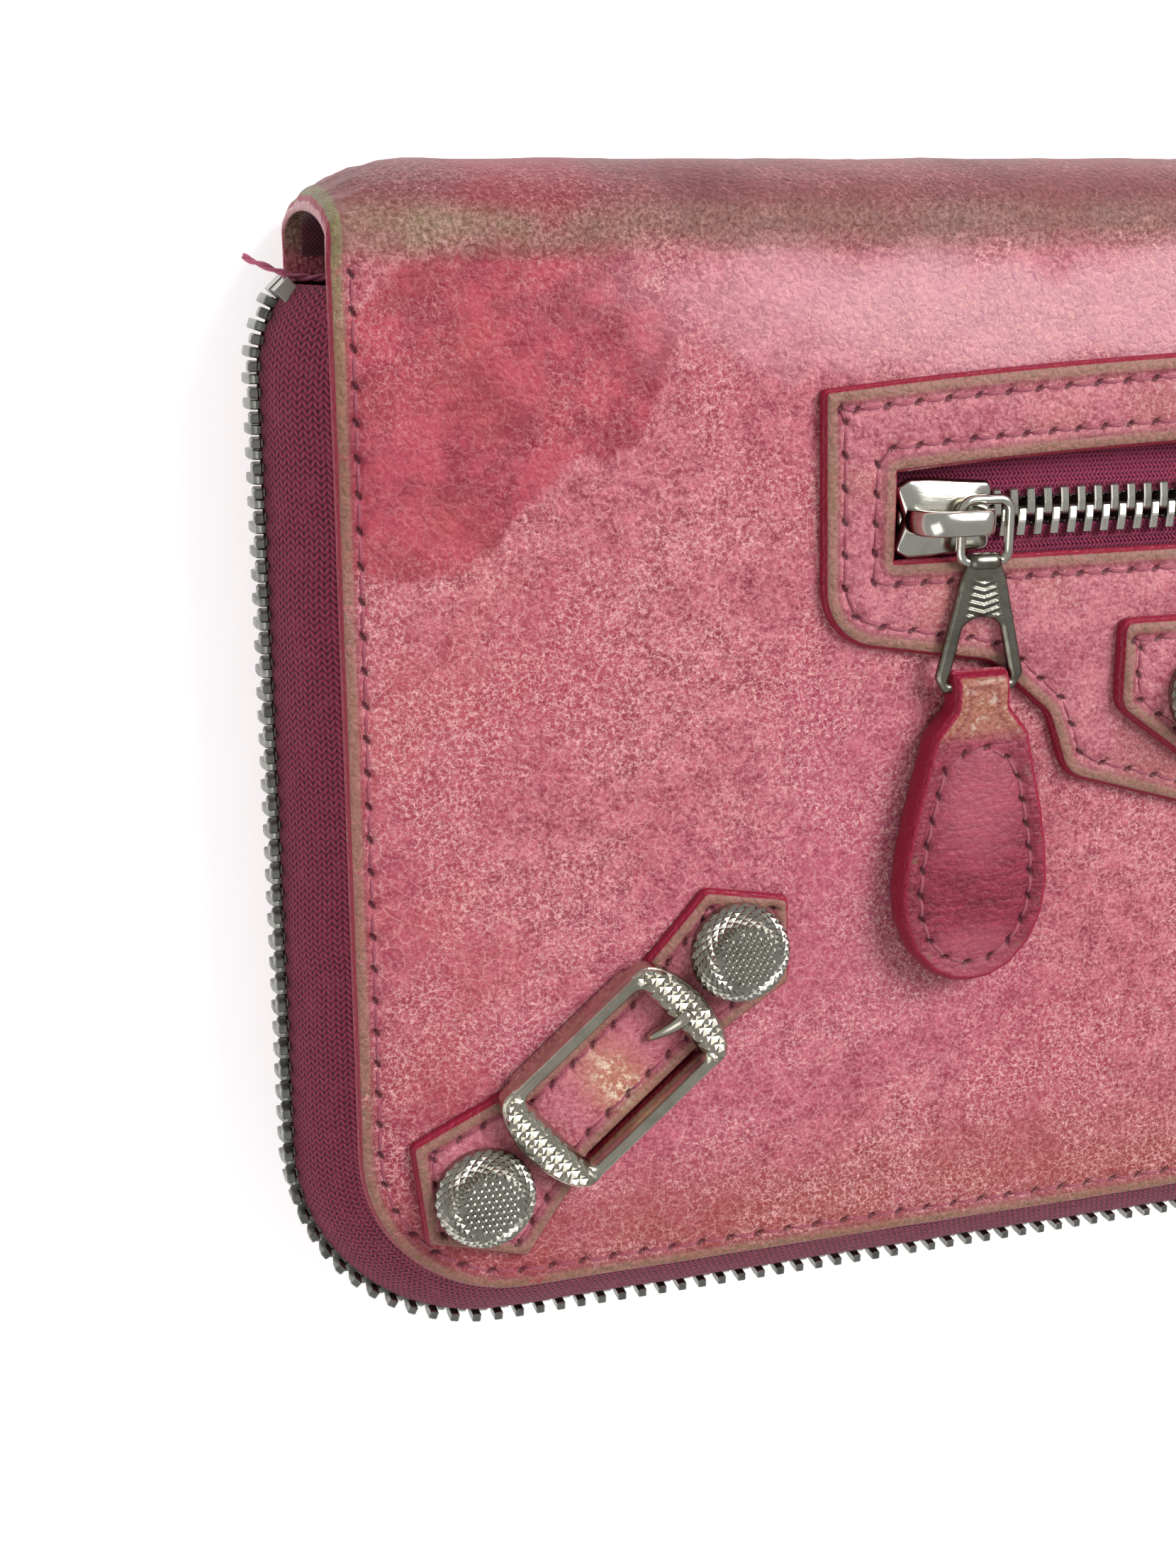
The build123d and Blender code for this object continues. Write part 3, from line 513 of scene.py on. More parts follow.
def offset(loop, distance):
    """A closed loop moved to its left, its corners mitred."""
    before = unit(loop - np.roll(loop, 1, 0))
    after = np.roll(before, -1, 0)
    left_before = np.stack([-before[:, 1], before[:, 0]], 1)
    left_after = np.stack([-after[:, 1], after[:, 0]], 1)
    middle = unit(left_before + left_after)
    stretch = 1 / np.maximum(0.5, (middle * left_after).sum(1, keepdims=True))
    return loop + middle * stretch * distance


def gap(points, lines, closed=True):
    """Distance from each point to the nearest of some lines."""
    nearest = np.full(len(points), 1e9)
    for line in lines:
        start = line if closed else line[:-1]
        run = (np.roll(line, -1, 0) if closed else line[1:]) - start
        length = np.maximum((run * run).sum(1), 1e-12)
        for first in range(0, len(points), 2000):
            away = points[first:first + 2000, None] - start[None]
            share = np.clip((away * run).sum(2) / length, 0, 1)
            reach = np.linalg.norm(away - share[..., None] * run, axis=2).min(1)
            nearest[first:first + 2000] = np.minimum(nearest[first:first + 2000], reach)
    return nearest


def within(points, loops):
    """Which points lie inside the first loop and outside the others."""
    crossings = np.zeros(len(points), int)
    for loop in loops:
        x0, y0 = loop.T
        x1, y1 = np.roll(loop, -1, 0).T
        for first in range(0, len(points), 4000):
            x, y = points[first:first + 4000].T[..., None]
            level = (y0 > y) != (y1 > y)
            rise = np.where(y1 == y0, 1e-9, y1 - y0)
            hit = level & (x < x0 + (y - y0) * (x1 - x0) / rise)
            crossings[first:first + 4000] += hit.sum(1)
    return crossings % 2 == 1


def seat(origin, x_way, z_way):
    """Places local points: x_way and z_way are the local axes' directions in the row frame."""
    x_axis, z_axis = np.array(x_way, float), np.array(z_way, float)
    axes = np.stack([x_axis, np.cross(z_axis, x_axis), z_axis])
    return lambda points: np.asarray(points, float) @ axes + np.array(origin, float)


def stack(points, height):
    """Flat points with their heights."""
    return np.column_stack([points, np.broadcast_to(height, len(points))])


# ---------------------------------------------------------------- meshes
def piece(name, finish, points, faces, body=None, flat_faces=False, **marks):
    """Closed mesh from points in millimetres; each mark is a number or vector at each point."""
    mesh = bpy.data.meshes.new(name)
    mesh.from_pydata((np.asarray(points, float) * MM).tolist(), [], [tuple(map(int, f)) for f in faces])
    marks.setdefault("lay", points)
    for mark, values in marks.items():
        values = np.asarray(values, np.float32)
        kind, key = ("FLOAT_VECTOR", "vector") if values.ndim == 2 else ("FLOAT", "value")
        mesh.attributes.new(mark, kind, "POINT").data.foreach_set(key, values.ravel())
    shape = bmesh.new()
    shape.from_mesh(mesh)
    bmesh.ops.recalc_face_normals(shape, faces=shape.faces)
    for face in shape.faces:
        face.smooth = not flat_faces
    shape.to_mesh(mesh)
    shape.free()
    mesh.materials.append(finish.material)
    obj = bpy.data.objects.new(name, mesh)
    bpy.context.scene.collection.objects.link(obj)
    if body:
        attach(obj, body)
    return obj


def together(parts):
    """One list of points and one of faces from several."""
    points, faces, start = [], [], 0
    for part_points, part_faces in parts:
        points.append(part_points)
        faces += [tuple(start + corner for corner in face) for face in part_faces]
        start += len(part_points)
    return np.vstack(points), faces


def sweep(path, radii, sides=8, closed=False, squash=1.0, up=(0, 0, 1)):
    """Round bar along a path: a radius at each point, flattened along up by a share."""
    path = np.asarray(path, float)
    radii = np.broadcast_to(radii, len(path))
    if closed:
        ways = unit(np.roll(path, -1, 0) - np.roll(path, 1, 0))
    else:
        ways = unit(np.gradient(path, axis=0))
    sideways = unit(np.cross(ways, np.array(up, float)))
    upward = unit(np.cross(sideways, ways))
    turns = np.linspace(0, 2 * math.pi, sides, endpoint=False)
    rings = (path[:, None] + radii[:, None, None] * (
        np.cos(turns)[None, :, None] * sideways[:, None]
        + squash * np.sin(turns)[None, :, None] * upward[:, None]))
    count = len(path)
    faces = []
    for ring in range(count if closed else count - 1):
        after = (ring + 1) % count
        for side in range(sides):
            faces.append((ring * sides + side, ring * sides + (side + 1) % sides,
                          after * sides + (side + 1) % sides, after * sides + side))
    if not closed:
        faces.append(tuple(range(sides)))
        faces.append(tuple((count - 1) * sides + side for side in reversed(range(sides))))
    return rings.reshape(-1, 3), faces


def loft(sections):
    """Skin over closed rings of equal length, with its two ends filled."""
    count, sides = len(sections), len(sections[0])
    faces = [(ring * sides + side, ring * sides + (side + 1) % sides,
              (ring + 1) * sides + (side + 1) % sides, (ring + 1) * sides + side)
             for ring in range(count - 1) for side in range(sides)]
    faces.append(tuple(range(sides)))
    faces.append(tuple((count - 1) * sides + side for side in reversed(range(sides))))
    return np.vstack(sections), faces


def fill(loops, inner):
    """Triangles that fill the first loop less the others, through the inner points."""
    points = np.vstack([*loops, inner])
    edges, start = [], 0
    for loop in loops:
        edges += [(start + number, start + (number + 1) % len(loop)) for number in range(len(loop))]
        start += len(loop)
    placed, _, faces, _, _, _ = delaunay_2d_cdt([Vector(p) for p in points], edges, [], 0, 1e-5)
    placed = np.array([tuple(p) for p in placed])
    faces = np.array([tuple(f) for f in faces])
    return placed, faces[within(placed[faces].mean(1), loops)]


def cut_piece(name, finish, loops, inner, top, lie, body=None, under=None, bulge=0.12, pit=None,
              flat_faces=False, local=None):
    """Piece cut from sheet: upper side at heights top(points), edge wall, and a lower side."""
    flat, faces = fill(loops, inner)
    high = top(flat)
    low = under(flat) if under else np.zeros(len(flat))
    directed = np.vstack([faces[:, [0, 1]], faces[:, [1, 2]], faces[:, [2, 0]]]).tolist()
    known = {tuple(edge) for edge in directed}
    border = sorted(edge for edge in known if edge[::-1] not in known)
    outward = np.zeros_like(flat)
    for start, end in border:
        run = flat[end] - flat[start]
        outward[[start, end]] += (run[1], -run[0]) / max(np.linalg.norm(run), 1e-9)
    outward = unit(outward)
    rim = sorted({start for start, _ in border})
    spot = {point: number for number, point in enumerate(rim)}
    levels = ((0.06, 0.45), (0.3, 0.95), (0.7, 0.95), (0.94, 0.45))
    walls = [(flat[rim] + outward[rim] * bulge * reach,
              high[rim] * (1 - share) + low[rim] * share) for share, reach in levels]
    spread = np.vstack([flat, *[w[0] for w in walls], flat])
    height = np.concatenate([high, *[w[1] for w in walls], low])
    first, last = len(flat), len(flat) + len(rim) * len(walls)
    skin = faces.tolist() + (faces[:, ::-1] + last).tolist()

    def column(point):
        """Corners from the top to the underside below a rim point."""
        return [point, *[first + row * len(rim) + spot[point] for row in range(len(walls))],
                last + point]

    for start, end in border:
        left, right = column(start), column(end)
        skin += [(right[row], left[row], left[row + 1], right[row + 1]) for row in range(len(left) - 1)]
    blank = np.zeros(len(rim) * len(walls))
    marks = {
        "rim": np.concatenate([np.minimum(gap(flat, loops), 8), blank, np.full(len(flat), 8.0)]),
        "wall": np.concatenate([np.zeros(len(flat)), blank + 1, np.zeros(len(flat))]),
        "pit": np.concatenate([pit(flat) if pit else np.zeros(len(flat)), blank, np.zeros(len(flat))]),
    }
    points = stack(spread, height)
    if local:
        marks["local"] = points
    return piece(name, finish, lie(points), skin, body, flat_faces, **marks)


class Stitches:
    """A row of stitches: slanting needle holes along a line, with thread sunk between them."""

    slit = (0.6, 0.24)         # half length and half width of a needle hole
    slant = math.radians(32)

    def __init__(self, line, pitch=2.9, closed=False):
        self.closed = closed
        line = np.asarray(line, float)
        if closed:
            line = np.vstack([line, line[:1]])
        self.line = line
        steps = np.concatenate([[0], np.cumsum(np.linalg.norm(np.diff(line, axis=0), axis=1))])
        count = max(2, round(steps[-1] / pitch))
        places = np.linspace(0, steps[-1], count, endpoint=not closed)
        self.holes = np.stack([np.interp(places, steps, line[:, axis]) for axis in (0, 1)], 1)
        ahead = np.minimum(places + 0.3, steps[-1])
        behind = np.maximum(places - 0.3, 0)
        self.ways = unit(np.stack([np.interp(ahead, steps, line[:, axis])
                                   - np.interp(behind, steps, line[:, axis]) for axis in (0, 1)], 1))
        cosine, sine = math.cos(self.slant), math.sin(self.slant)
        self.slits = np.stack([self.ways[:, 0] * cosine - self.ways[:, 1] * sine,
                               self.ways[:, 0] * sine + self.ways[:, 1] * cosine], 1)

    def reach(self, points):
        """How far each point is from its nearest needle hole, 1 at the hole's edge."""
        away = points[:, None] - self.holes[None]
        along = (away * self.slits).sum(2) / self.slit[0]
        across = (away[..., 1] * self.slits[:, 0] - away[..., 0] * self.slits[:, 1]) / self.slit[1]
        return np.sqrt(along * along + across * across).min(1)

    def rings(self):
        """Points in and round each needle hole."""
        sets = [self.holes]
        across = np.stack([-self.slits[:, 1], self.slits[:, 0]], 1)
        for size, count in ((0.55, 6), (1.05, 8), (1.9, 8)):
            for turn in np.linspace(0, 2 * math.pi, count, endpoint=False):
                sets.append(self.holes + self.slits * self.slit[0] * size * math.cos(turn)
                            + across * self.slit[1] * size * math.sin(turn))
        return np.vstack(sets)

    def sink(self, points):
        """Depth of the sewn channel, deepest at the needle holes."""
        near = gap(points, [self.line], closed=False)
        at_hole = bell(np.linalg.norm(points[:, None] - self.holes[None], axis=2).min(1) / 0.85)
        return 0.2 * bell(near / 0.42) * (0.55 + 0.45 * at_hole) + 0.42 * bell(self.reach(points) / 0.9)

    def thread(self, name, top, lie, body):
        """The thread's runs between the holes, as one piece."""
        ends = np.roll(self.holes, -1, 0) if self.closed else self.holes[1:]
        starts = self.holes if self.closed else self.holes[:-1]
        runs = []
        for start, end in zip(starts, ends):
            line = np.array([start + (end - start) * share for share in (0.14, 0.3, 0.5, 0.7, 0.86)])
            rise = top(line[2:3])[0] + np.array([-0.16, -0.02, 0.04, -0.02, -0.16])
            runs.append(sweep(stack(line, rise), [0.08, 0.17, 0.19, 0.17, 0.08], 6, squash=0.7))
        points, faces = together(runs)
        thread = piece(name, STITCH, lie(points), faces, body)
        return thread


def inner_points(loops, rows, spacing, depths=(0.12, 0.28, 0.5, 0.8, 1.15, 1.55, 2.1, 2.8)):
    """Inner points of a leather piece: rings in from its edge, needle holes, and a grid."""
    sets = []
    for depth in depths:
        ring = np.vstack([offset(loop, depth) for loop in loops])
        sets.append(ring[gap(ring, loops) > depth - 0.04])
    low, high = loops[0].min(0), loops[0].max(0)
    columns = np.arange(low[0] + spacing / 2, high[0], spacing)
    lines = np.arange(low[1] + spacing / 2, high[1], spacing)
    grid = np.stack(np.meshgrid(columns, lines), 2).reshape(-1, 2)
    grid[:, 0] += np.where(np.round((grid[:, 1] - lines[0]) / spacing) % 2 == 0, 0, spacing / 2)
    grid = grid[within(grid, loops)]
    sets.append(grid[gap(grid, loops) > depths[-1] + spacing / 2])
    points = np.vstack(sets)
    points = points[within(points, loops)]
    for row in rows:
        clear = np.linalg.norm(points[:, None] - row.holes[None], axis=2).min(1) > 0.8
        points = points[clear]
    if rows:
        holes = np.vstack([row.rings() for row in rows])
        holes = holes[within(holes, loops)]
        points = np.vstack([points, holes[gap(holes, loops) > 0.1]])
    return points


def swell(points, size, amount):
    """Gentle unevenness of hand-made leather."""
    return amount * np.array([noise.noise(Vector((x / size, y / size, 0.7))) for x, y in points[:, :2]])


def sewn_leather(name, finish, loops, rows, thickness, lie, body, spacing=1.1, uneven=0.06, roll=0.4,
                 dome=0.0, under=None, shape=None, bulge=0.14, local=None, border=0.1):
    """Leather piece with a rolled rim, a raised border and sewn rows."""
    def top(points):
        depth = gap(points, loops)
        fall = roll - np.sqrt(np.maximum(roll ** 2 - np.square(np.maximum(roll - depth, 0)), 0))
        height = thickness - fall + border * bell((depth - 0.8) / 0.5) + dome * smooth(depth / 5)
        height += swell(points, 7.0, uneven)
        if shape is not None:
            height += shape(points)
        for row in rows:
            height -= row.sink(points)
        return height

    def pit(points):
        marks = np.zeros(len(points))
        for row in rows:
            marks = np.maximum(marks, 1 - smooth((row.reach(points) - 0.55) / 0.7))
        return marks

    skin = cut_piece(name, finish, loops, inner_points(loops, rows, spacing), top, lie, body, under,
                     bulge, pit, local=local)
    threads = [row.thread(f"{name}_thread_{number + 1}", top, lie, body)
               for number, row in enumerate(rows)]
    return skin, threads


def level_at(height):
    """Lays a flat piece at a height."""
    return lambda points: points + np.array((0, 0, height))


# ---------------------------------------------------------------- outer skin
spine_turns = np.linspace(0, math.pi, 200)
spine_steps = np.concatenate([[0], np.cumsum(np.hypot(
    np.diff(spine_depth * np.sin(spine_turns)), np.diff(mid * np.cos(spine_turns))))])
spine_girth = spine_steps[-1]
cover_width = spine_line - opening_edge


def around_spine(points, sheet=leather, inside=0.0):
    """Wraps a flat skin round the wallet: front cover below zero, then the spine, then the back."""
    x, s, height = points.T
    pinch = 3.0 * np.square(np.clip((np.abs(x) - (half_length - 8)) / 8, 0, 1))
    turn = np.interp(s, spine_steps, spine_turns)
    depth = spine_depth - pinch - inside
    half = mid - inside
    y = spine_line + depth * np.sin(turn)
    z = mid + half * np.cos(turn)
    normal = unit(np.stack([np.zeros_like(x), np.sin(turn) / depth, np.cos(turn) / half], 1))
    y = np.where(s < 0, spine_line + s, np.where(s > spine_girth, spine_line - (s - spine_girth), y))
    return np.stack([x, y, z], 1) + normal * (height - sheet)[:, None]


def window_loop(grow=0.0):
    """Zip window's outline, clockwise: straight below and slightly arched above."""
    half, low = 45.9 + grow, chain_y - 3.7 - grow
    high = low + 8.1 + 2 * grow
    arch = [(half * share, high + 1.8 * (1 - share ** 2)) for share in np.linspace(-1, 1, 60)]
    return np.array([(half, low), (-half, low), *arch])


def outer_skin():
    """One skin makes both covers and the spine, folded round the zip's open side."""
    corners = [(-half_length, -cover_width), (half_length, -cover_width),
               (half_length, spine_girth + cover_width), (-half_length, spine_girth + cover_width)]
    outline = resample(rounded(corners, [corner_radius] * 4, 1.0), 1.1)
    window = resample(window_loop(0.8), 1.0) - (0, spine_line)
    sewn = offset(outline, 1.75)
    sewn = np.roll(sewn, -int(np.argmin(np.abs(sewn[:, 1] + 3) + (sewn[:, 0] > 0) * 1e3)), 0)
    front_row = Stitches(sewn[sewn[:, 1] < -2.4])
    back_line = sewn[sewn[:, 1] > spine_girth + 2.4]
    back_row = Stitches(back_line)

    def folds(points):
        """Creases along the spine and a hollow at its two ends."""
        x, s = points[:, 0], points[:, 1]
        ridge = bell((s - 0.6) / 1.3) * 0.22 + bell((s + 2.6) / 1.8) * -0.16
        end = smooth((np.abs(x) - (half_length - 14)) / 12)
        crumple = np.array([noise.noise(Vector((a / 2.6, b / 1.5, 3.1))) for a, b in points])
        on_spine = smooth((s + 5) / 5) * (1 - smooth((s - spine_girth) / 5))
        return ridge + crumple * on_spine * (0.12 + 0.2 * end)

    skin, threads = sewn_leather("outer_skin", COVER, [outline, window], [front_row, back_row], leather,
                                 around_spine, None, 1.7, 0.12, 0.4, shape=folds)
    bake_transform(skin)
    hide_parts("front_cover", "back_cover", "spine")
    for thread, body in zip(threads, ("front", "back")):
        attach(thread, body)


def spine_inside():
    """Dark lining of the spine's tube."""
    reach = half_length - 1.5
    corners = [(-reach, -2), (reach, -2), (reach, spine_girth + 2), (-reach, spine_girth + 2)]
    loop = resample(corners, 2.0)
    lining = cut_piece("spine_inside", LINING, [loop], inner_points([loop], [], 2.2, (0.5, 1.5)),
                       lambda p: np.full(len(p), 0.3), lambda p: around_spine(p, 0.3, leather + 0.1))
    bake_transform(lining)
    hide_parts("spine_lining")


# ---------------------------------------------------------------- main zip
side_bulge = 4.7
edge_bulge = 7.5
tape_seat = 1.7
tape_end = 40.0


def zip_path(share, inset):
    """Stations round the main zip at one height: share of the bulge reached, inset from it."""
    half = half_length + side_bulge * share - inset
    low = opening_edge - edge_bulge * share + inset
    bend = corner_radius + side_bulge * share - inset
    turn = 12.0 - inset
    centre = spine_line - turn
    climb = math.asin((tape_end - centre) / turn)
    left = [(-half + turn - turn * math.cos(a), centre + turn * math.sin(a))
            for a in np.linspace(climb, 0, 14)]
    left += [(-half, y) for y in np.linspace(centre, low + bend, 60)[1:]]
    left += [(-half + bend - bend * math.cos(a), low + bend - bend * math.sin(a))
             for a in np.linspace(0, math.pi / 2, 30)[1:]]
    left += [(x, low) for x in np.linspace(-half + bend, 0, 70)[1:]]
    left = np.array(left)
    return np.vstack([left, (left * (-1, 1))[-2::-1]])


def main_tape(name, front):
    """Woven tape from under a cover's edge out to its row of teeth."""

    def spread(level):
        """Share of the bulge that the tape has reached at a level."""
        return math.sin(math.pi / 2 * max(0, level - tape_seat) / (mid - tape_seat))

    levels = (1.85, 2.3, 3.0, 4.0, 5.2, 6.6, 8.0, 9.2, 10.3)
    outer = [(0, 4.0, 1.23), (0, 1.2, 1.23), (0, 0.5, 1.4)] + [(spread(z), 0.3, z) for z in levels]
    inner = [(spread(z), 0.8, z) for z in reversed(levels)] + [(0, 1.3, 1.7), (0, 4.0, 1.7)]
    section = outer + inner
    rings = np.stack([stack(zip_path(share, inset), z) for share, inset, z in section], 1)
    steps = np.linalg.norm(np.diff(zip_path(0.6, 0.3), axis=0), axis=1)
    along = np.concatenate([[0], np.cumsum(steps)])
    away = [0, 2.8, 3.5] + [4.2 + (z - 1.85) * 1.16 for z in levels]
    across = np.array(away + away[-1:2:-1] + [2.8, 0.0])
    ripple = np.array([noise.noise(Vector((a / 5.0, 0.3 if front else 7.7, 0))) for a in along])
    bow = np.array([spread(z) * (1 - spread(z)) * 4 for _, _, z in section])
    outward = unit(zip_path(1, 0.3) - zip_path(0, 0.3))
    rings[..., :2] += (ripple[:, None] * bow[None] * 0.3)[..., None] * outward[:, None]
    if front:
        rings[..., 2] = front_face - rings[..., 2]
    weave = np.zeros_like(rings)
    weave[..., 0] = along[:, None]
    weave[..., 1] = across[None]
    points, faces = loft(list(rings))
    tape = piece(name, KNIT, points, faces, "front" if front else "back",
                 weave=weave.reshape(-1, 3))
    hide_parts("front_tape" if front else "back_tape")


def clip_tooth(along, through, across, slant=0.0):
    """Zip tooth: a head with softened edges on two legs that grip the tape."""
    half = through / 2
    outline = [(-half, 0), (-half, across * 0.5), (-half * 0.84, across * 0.88), (-half * 0.5, across),
               (half * 0.5, across), (half * 0.84, across * 0.88), (half, across * 0.5), (half, 0),
               (half * 0.36, 0), (half * 0.32, across * 0.42), (-half * 0.32, across * 0.42),
               (-half * 0.36, 0)]
    shape = bmesh.new()
    ends = [[shape.verts.new((x, y, z)) for y, z in outline] for x in (-along / 2, along / 2)]
    shape.faces.new(ends[0])
    shape.faces.new(ends[1][::-1])
    for number in range(len(outline)):
        after = (number + 1) % len(outline)
        shape.faces.new((ends[0][after], ends[0][number], ends[1][number], ends[1][after]))
    bmesh.ops.recalc_face_normals(shape, faces=shape.faces)
    bmesh.ops.bevel(shape, geom=list(shape.edges), offset=along * 0.13, segments=1, affect="EDGES")
    shape.verts.index_update()
    points = np.array([tuple(vert.co) for vert in shape.verts])
    faces = [tuple(vert.index for vert in face.verts) for face in shape.faces]
    shape.free()
    points[:, 0] += slant * (points[:, 2] - across / 2)
    return points, faces


def stations(line, pitch, start, end):
    """Points and directions a pitch apart along a line, from a start to an end along it."""
    steps = np.concatenate([[0], np.cumsum(np.linalg.norm(np.diff(line, axis=0), axis=1))])
    places = np.arange(start, min(end, steps[-1]), pitch)

    def find(at):
        return np.stack([np.interp(at, steps, line[:, axis]) for axis in (0, 1)], 1)

    return find(places), unit(find(places + 0.2) - find(places - 0.2))


def main_teeth(name, front):
    """One row of the main zip, its heads past the middle plane."""
    line = zip_path(1, 0.55)
    shift = 1.6 + (3 if front else 1) * main_pitch / 4
    parked = 30.6              # the right end's teeth stop under the parked slider
    places, ways = stations(line, main_pitch, shift, math.inf)
    keep = (places[:, 0] < 0) | (places[:, 1] < parked)
    up = -1.0 if front else 1.0
    base = mid - up * (main_tooth[2] - 0.55)
    tooth_points, tooth_faces = clip_tooth(*main_tooth)
    row = []
    for place, way in zip(places[keep], ways[keep]):
        across = np.array((-way[1], way[0], 0)) * up
        lie = np.stack([(way[0], way[1], 0), across, (0, 0, up)])
        row.append((tooth_points @ lie + (place[0], place[1], base), tooth_faces))
    points, faces = together(row)
    teeth = piece(name, TOOTH, points, faces, "front" if front else "back", flat_faces=True)
    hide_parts("front_teeth" if front else "back_teeth")


def straight_teeth(name, node, body, centre, height, reach, upper, tooth):
    """Row of slim slanting teeth along a straight zip, from one end of its reach to the other."""
    tooth_points, tooth_faces = clip_tooth(*tooth, slant=0.1)
    up = -1.0 if upper else 1.0
    lie = np.stack([(1, 0, 0), (0, 0, 1), (0, up, 0)])
    base = np.array((0, centre - up * (tooth[2] - tooth_mesh), height))
    start = reach[0] + (0.0 if upper else 0.5) * small_pitch
    row = [(tooth_points @ lie + base + (x, 0, 0), tooth_faces)
           for x in np.arange(start, reach[1], small_pitch)]
    points, faces = together(row)
    teeth = piece(name, BAR, points, faces, body, flat_faces=True)
    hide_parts(node)


def flat_tape(name, node, body, upper):
    """Flat woven tape of a small zip, its toothed edge corded."""
    low, high = low_of(node), high_of(node)
    columns = np.arange(low[0], high[0] + 0.5, 1.0)
    lines = np.linspace(low[1], high[1], 9)
    sections = []
    for x in columns:
        sag = np.array([0.06 * noise.noise(Vector((x / 3, y / 3, 5))) for y in lines])
        edge = lines[0] if upper else lines[-1]
        cord = 0.22 * bell((lines - edge) / 0.6)
        place = np.full(len(lines), x)
        top = np.stack([place, lines, high[2] - 0.03 + sag + cord], 1)
        under = np.stack([place, lines, low[2] + 0.03 + sag - cord], 1)[::-1]
        sections.append(np.vstack([top, under]))
    points, faces = loft(sections)
    tape = piece(name, FINE_KNIT, points, faces, body, weave=points)
    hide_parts(node)


def small_zip(prefix, body, centre, height, reach, tooth):
    """Two tapes and two rows of teeth on one middle line."""
    for part in ("upper", "lower"):
        upper = part == "upper"
        flat_tape(f"{prefix}_{part}_tape", f"{prefix}_tape_{part}", body, upper)
        straight_teeth(f"{prefix}_{part}_teeth", f"{prefix}_teeth_{part}", body, centre, height, reach,
                       upper, tooth)


# ---------------------------------------------------------------- sliders and pulls
def flowing(points, steps=5):
    """Smooth curve through points."""
    points = [points[0], *points, points[-1]]
    curve = []
    for before, start, end, after in zip(points, points[1:], points[2:], points[3:]):
        for t in np.linspace(0, 1, steps + 1)[:-1]:
            curve.append([0.5 * (2 * b + (c - a) * t + (2 * a - 5 * b + 4 * c - d) * t * t
                                 + (3 * b - a - 3 * c + d) * t ** 3)
                          for a, b, c, d in zip(before, start, end, after)])
    return np.array([*curve, list(points[-1])])


def bridge_strap(length, top, rise, sheet):
    """Bent strap over a slider's top plate, its outer face slightly crowned."""
    line = flowing([(-length * 0.36, top), (-length * 0.37, top + rise * 0.45),
                    (-length * 0.31, top + rise * 0.85), (-length * 0.18, top + rise + sheet * 0.4),
                    (length * 0.1, top + rise + sheet * 0.5), (length * 0.27, top + rise + sheet * 0.3),
                    (length * 0.35, top + rise * 0.75), (length * 0.36, top)])
    wide = 1.1
    rim = ((-wide, -0.5), (-wide * 0.85, -1), (wide * 0.85, -1), (wide, -0.5), (wide, 0.5),
           (wide * 0.8, 0.9), (0, 1.1), (-wide * 0.8, 0.9), (-wide, 0.5))
    way = unit(np.gradient(line, axis=0))
    out = np.stack([-way[:, 1], way[:, 0]], 1)
    sections = [np.array([(x + nx * depth * sheet / 2, y, z + nz * depth * sheet / 2) for y, depth in rim])
                for (x, z), (nx, nz) in zip(line, out)]
    return loft(sections)


def slider(name, node, body, place, tooth, rise=3.4, sheet=0.8):
    """Zip slider: domed top plate, lower plate, flanges, post and a strap bridge."""
    half = tooth[1] / 2 + 0.2
    across = (tooth[2] - tooth_mesh) * 2
    nose, tail, length = across / 2 + 1.4, across / 2 + 0.9, across * 2.15
    outline = rounded([(-length / 2, -nose + 0.8), (-length / 2 + 1.2, -nose), (-length / 6, -nose),
                       (length / 2, -tail), (length / 2, tail), (-length / 6, nose),
                       (-length / 2 + 1.2, nose), (-length / 2, nose - 0.8), (-length / 2 + 0.9, 0)],
                      [0.5, 0.6, 2.0, 0.7, 0.7, 2.0, 0.6, 0.5, 1.0], 0.3)
    loop = resample(outline, 0.4)
    inner = inner_points([loop], [], 0.5, (0.1, 0.25, 0.45, 0.7))

    def crown(points):
        depth = gap(points, [loop])
        fall = 0.35 - np.sqrt(np.maximum(0.35 ** 2 - np.square(np.maximum(0.35 - depth, 0)), 0))
        dome = np.cos(np.clip(points[:, 1] / nose, -1, 1) * math.pi / 2)
        return 0.7 - fall + 0.5 * dome * smooth((length / 2 - np.abs(points[:, 0])) / 2.2)

    plate = cut_piece(name, NICKEL, [loop], inner, crown,
                      lambda p: place(p + (0, 0, half)), body, bulge=0.05)
    under = cut_piece(f"{name}_underplate", NICKEL, [loop], inner, crown,
                      lambda p: place(p * (1, -1, -1) - (0, 0, half)), body, bulge=0.05)
    post = sweep([(-length / 2 + 1.2, 0, -half), (-length / 2 + 1.2, 0, half)], 0.85, 16,
                 up=(1, 0, 0))
    flange_places = np.linspace(0.4, length / 2 - 0.4, 6)
    flanges = [sweep([(x, side * (across / 2 + 0.55), half - 0.42) for x in flange_places],
                     [0.15, 0.3, 0.3, 0.3, 0.3, 0.15], 8, squash=1.6) for side in (-1, 1)]
    strap = bridge_strap(length, half + 0.7, rise, sheet)
    points, faces = together([post, *flanges, strap])
    fittings = piece(f"{name}_bridge", NICKEL, place(points), faces, body)
    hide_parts(node)


def wire_ring(name, node, body, place):
    """Wire loop: its top wire is on the local X axis."""
    reach = 2.35
    corners = [(-reach, -ring_drop), (reach, -ring_drop), (reach, 0), (-reach, 0)]
    loop = rounded(corners, [0.9, 0.9, 1.1, 1.1], 0.25)
    points, faces = sweep(stack(resample(loop, 0.5), 0), 0.45, 12, closed=True)
    ring = piece(name, NICKEL, place(points), faces, body)
    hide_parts(node)


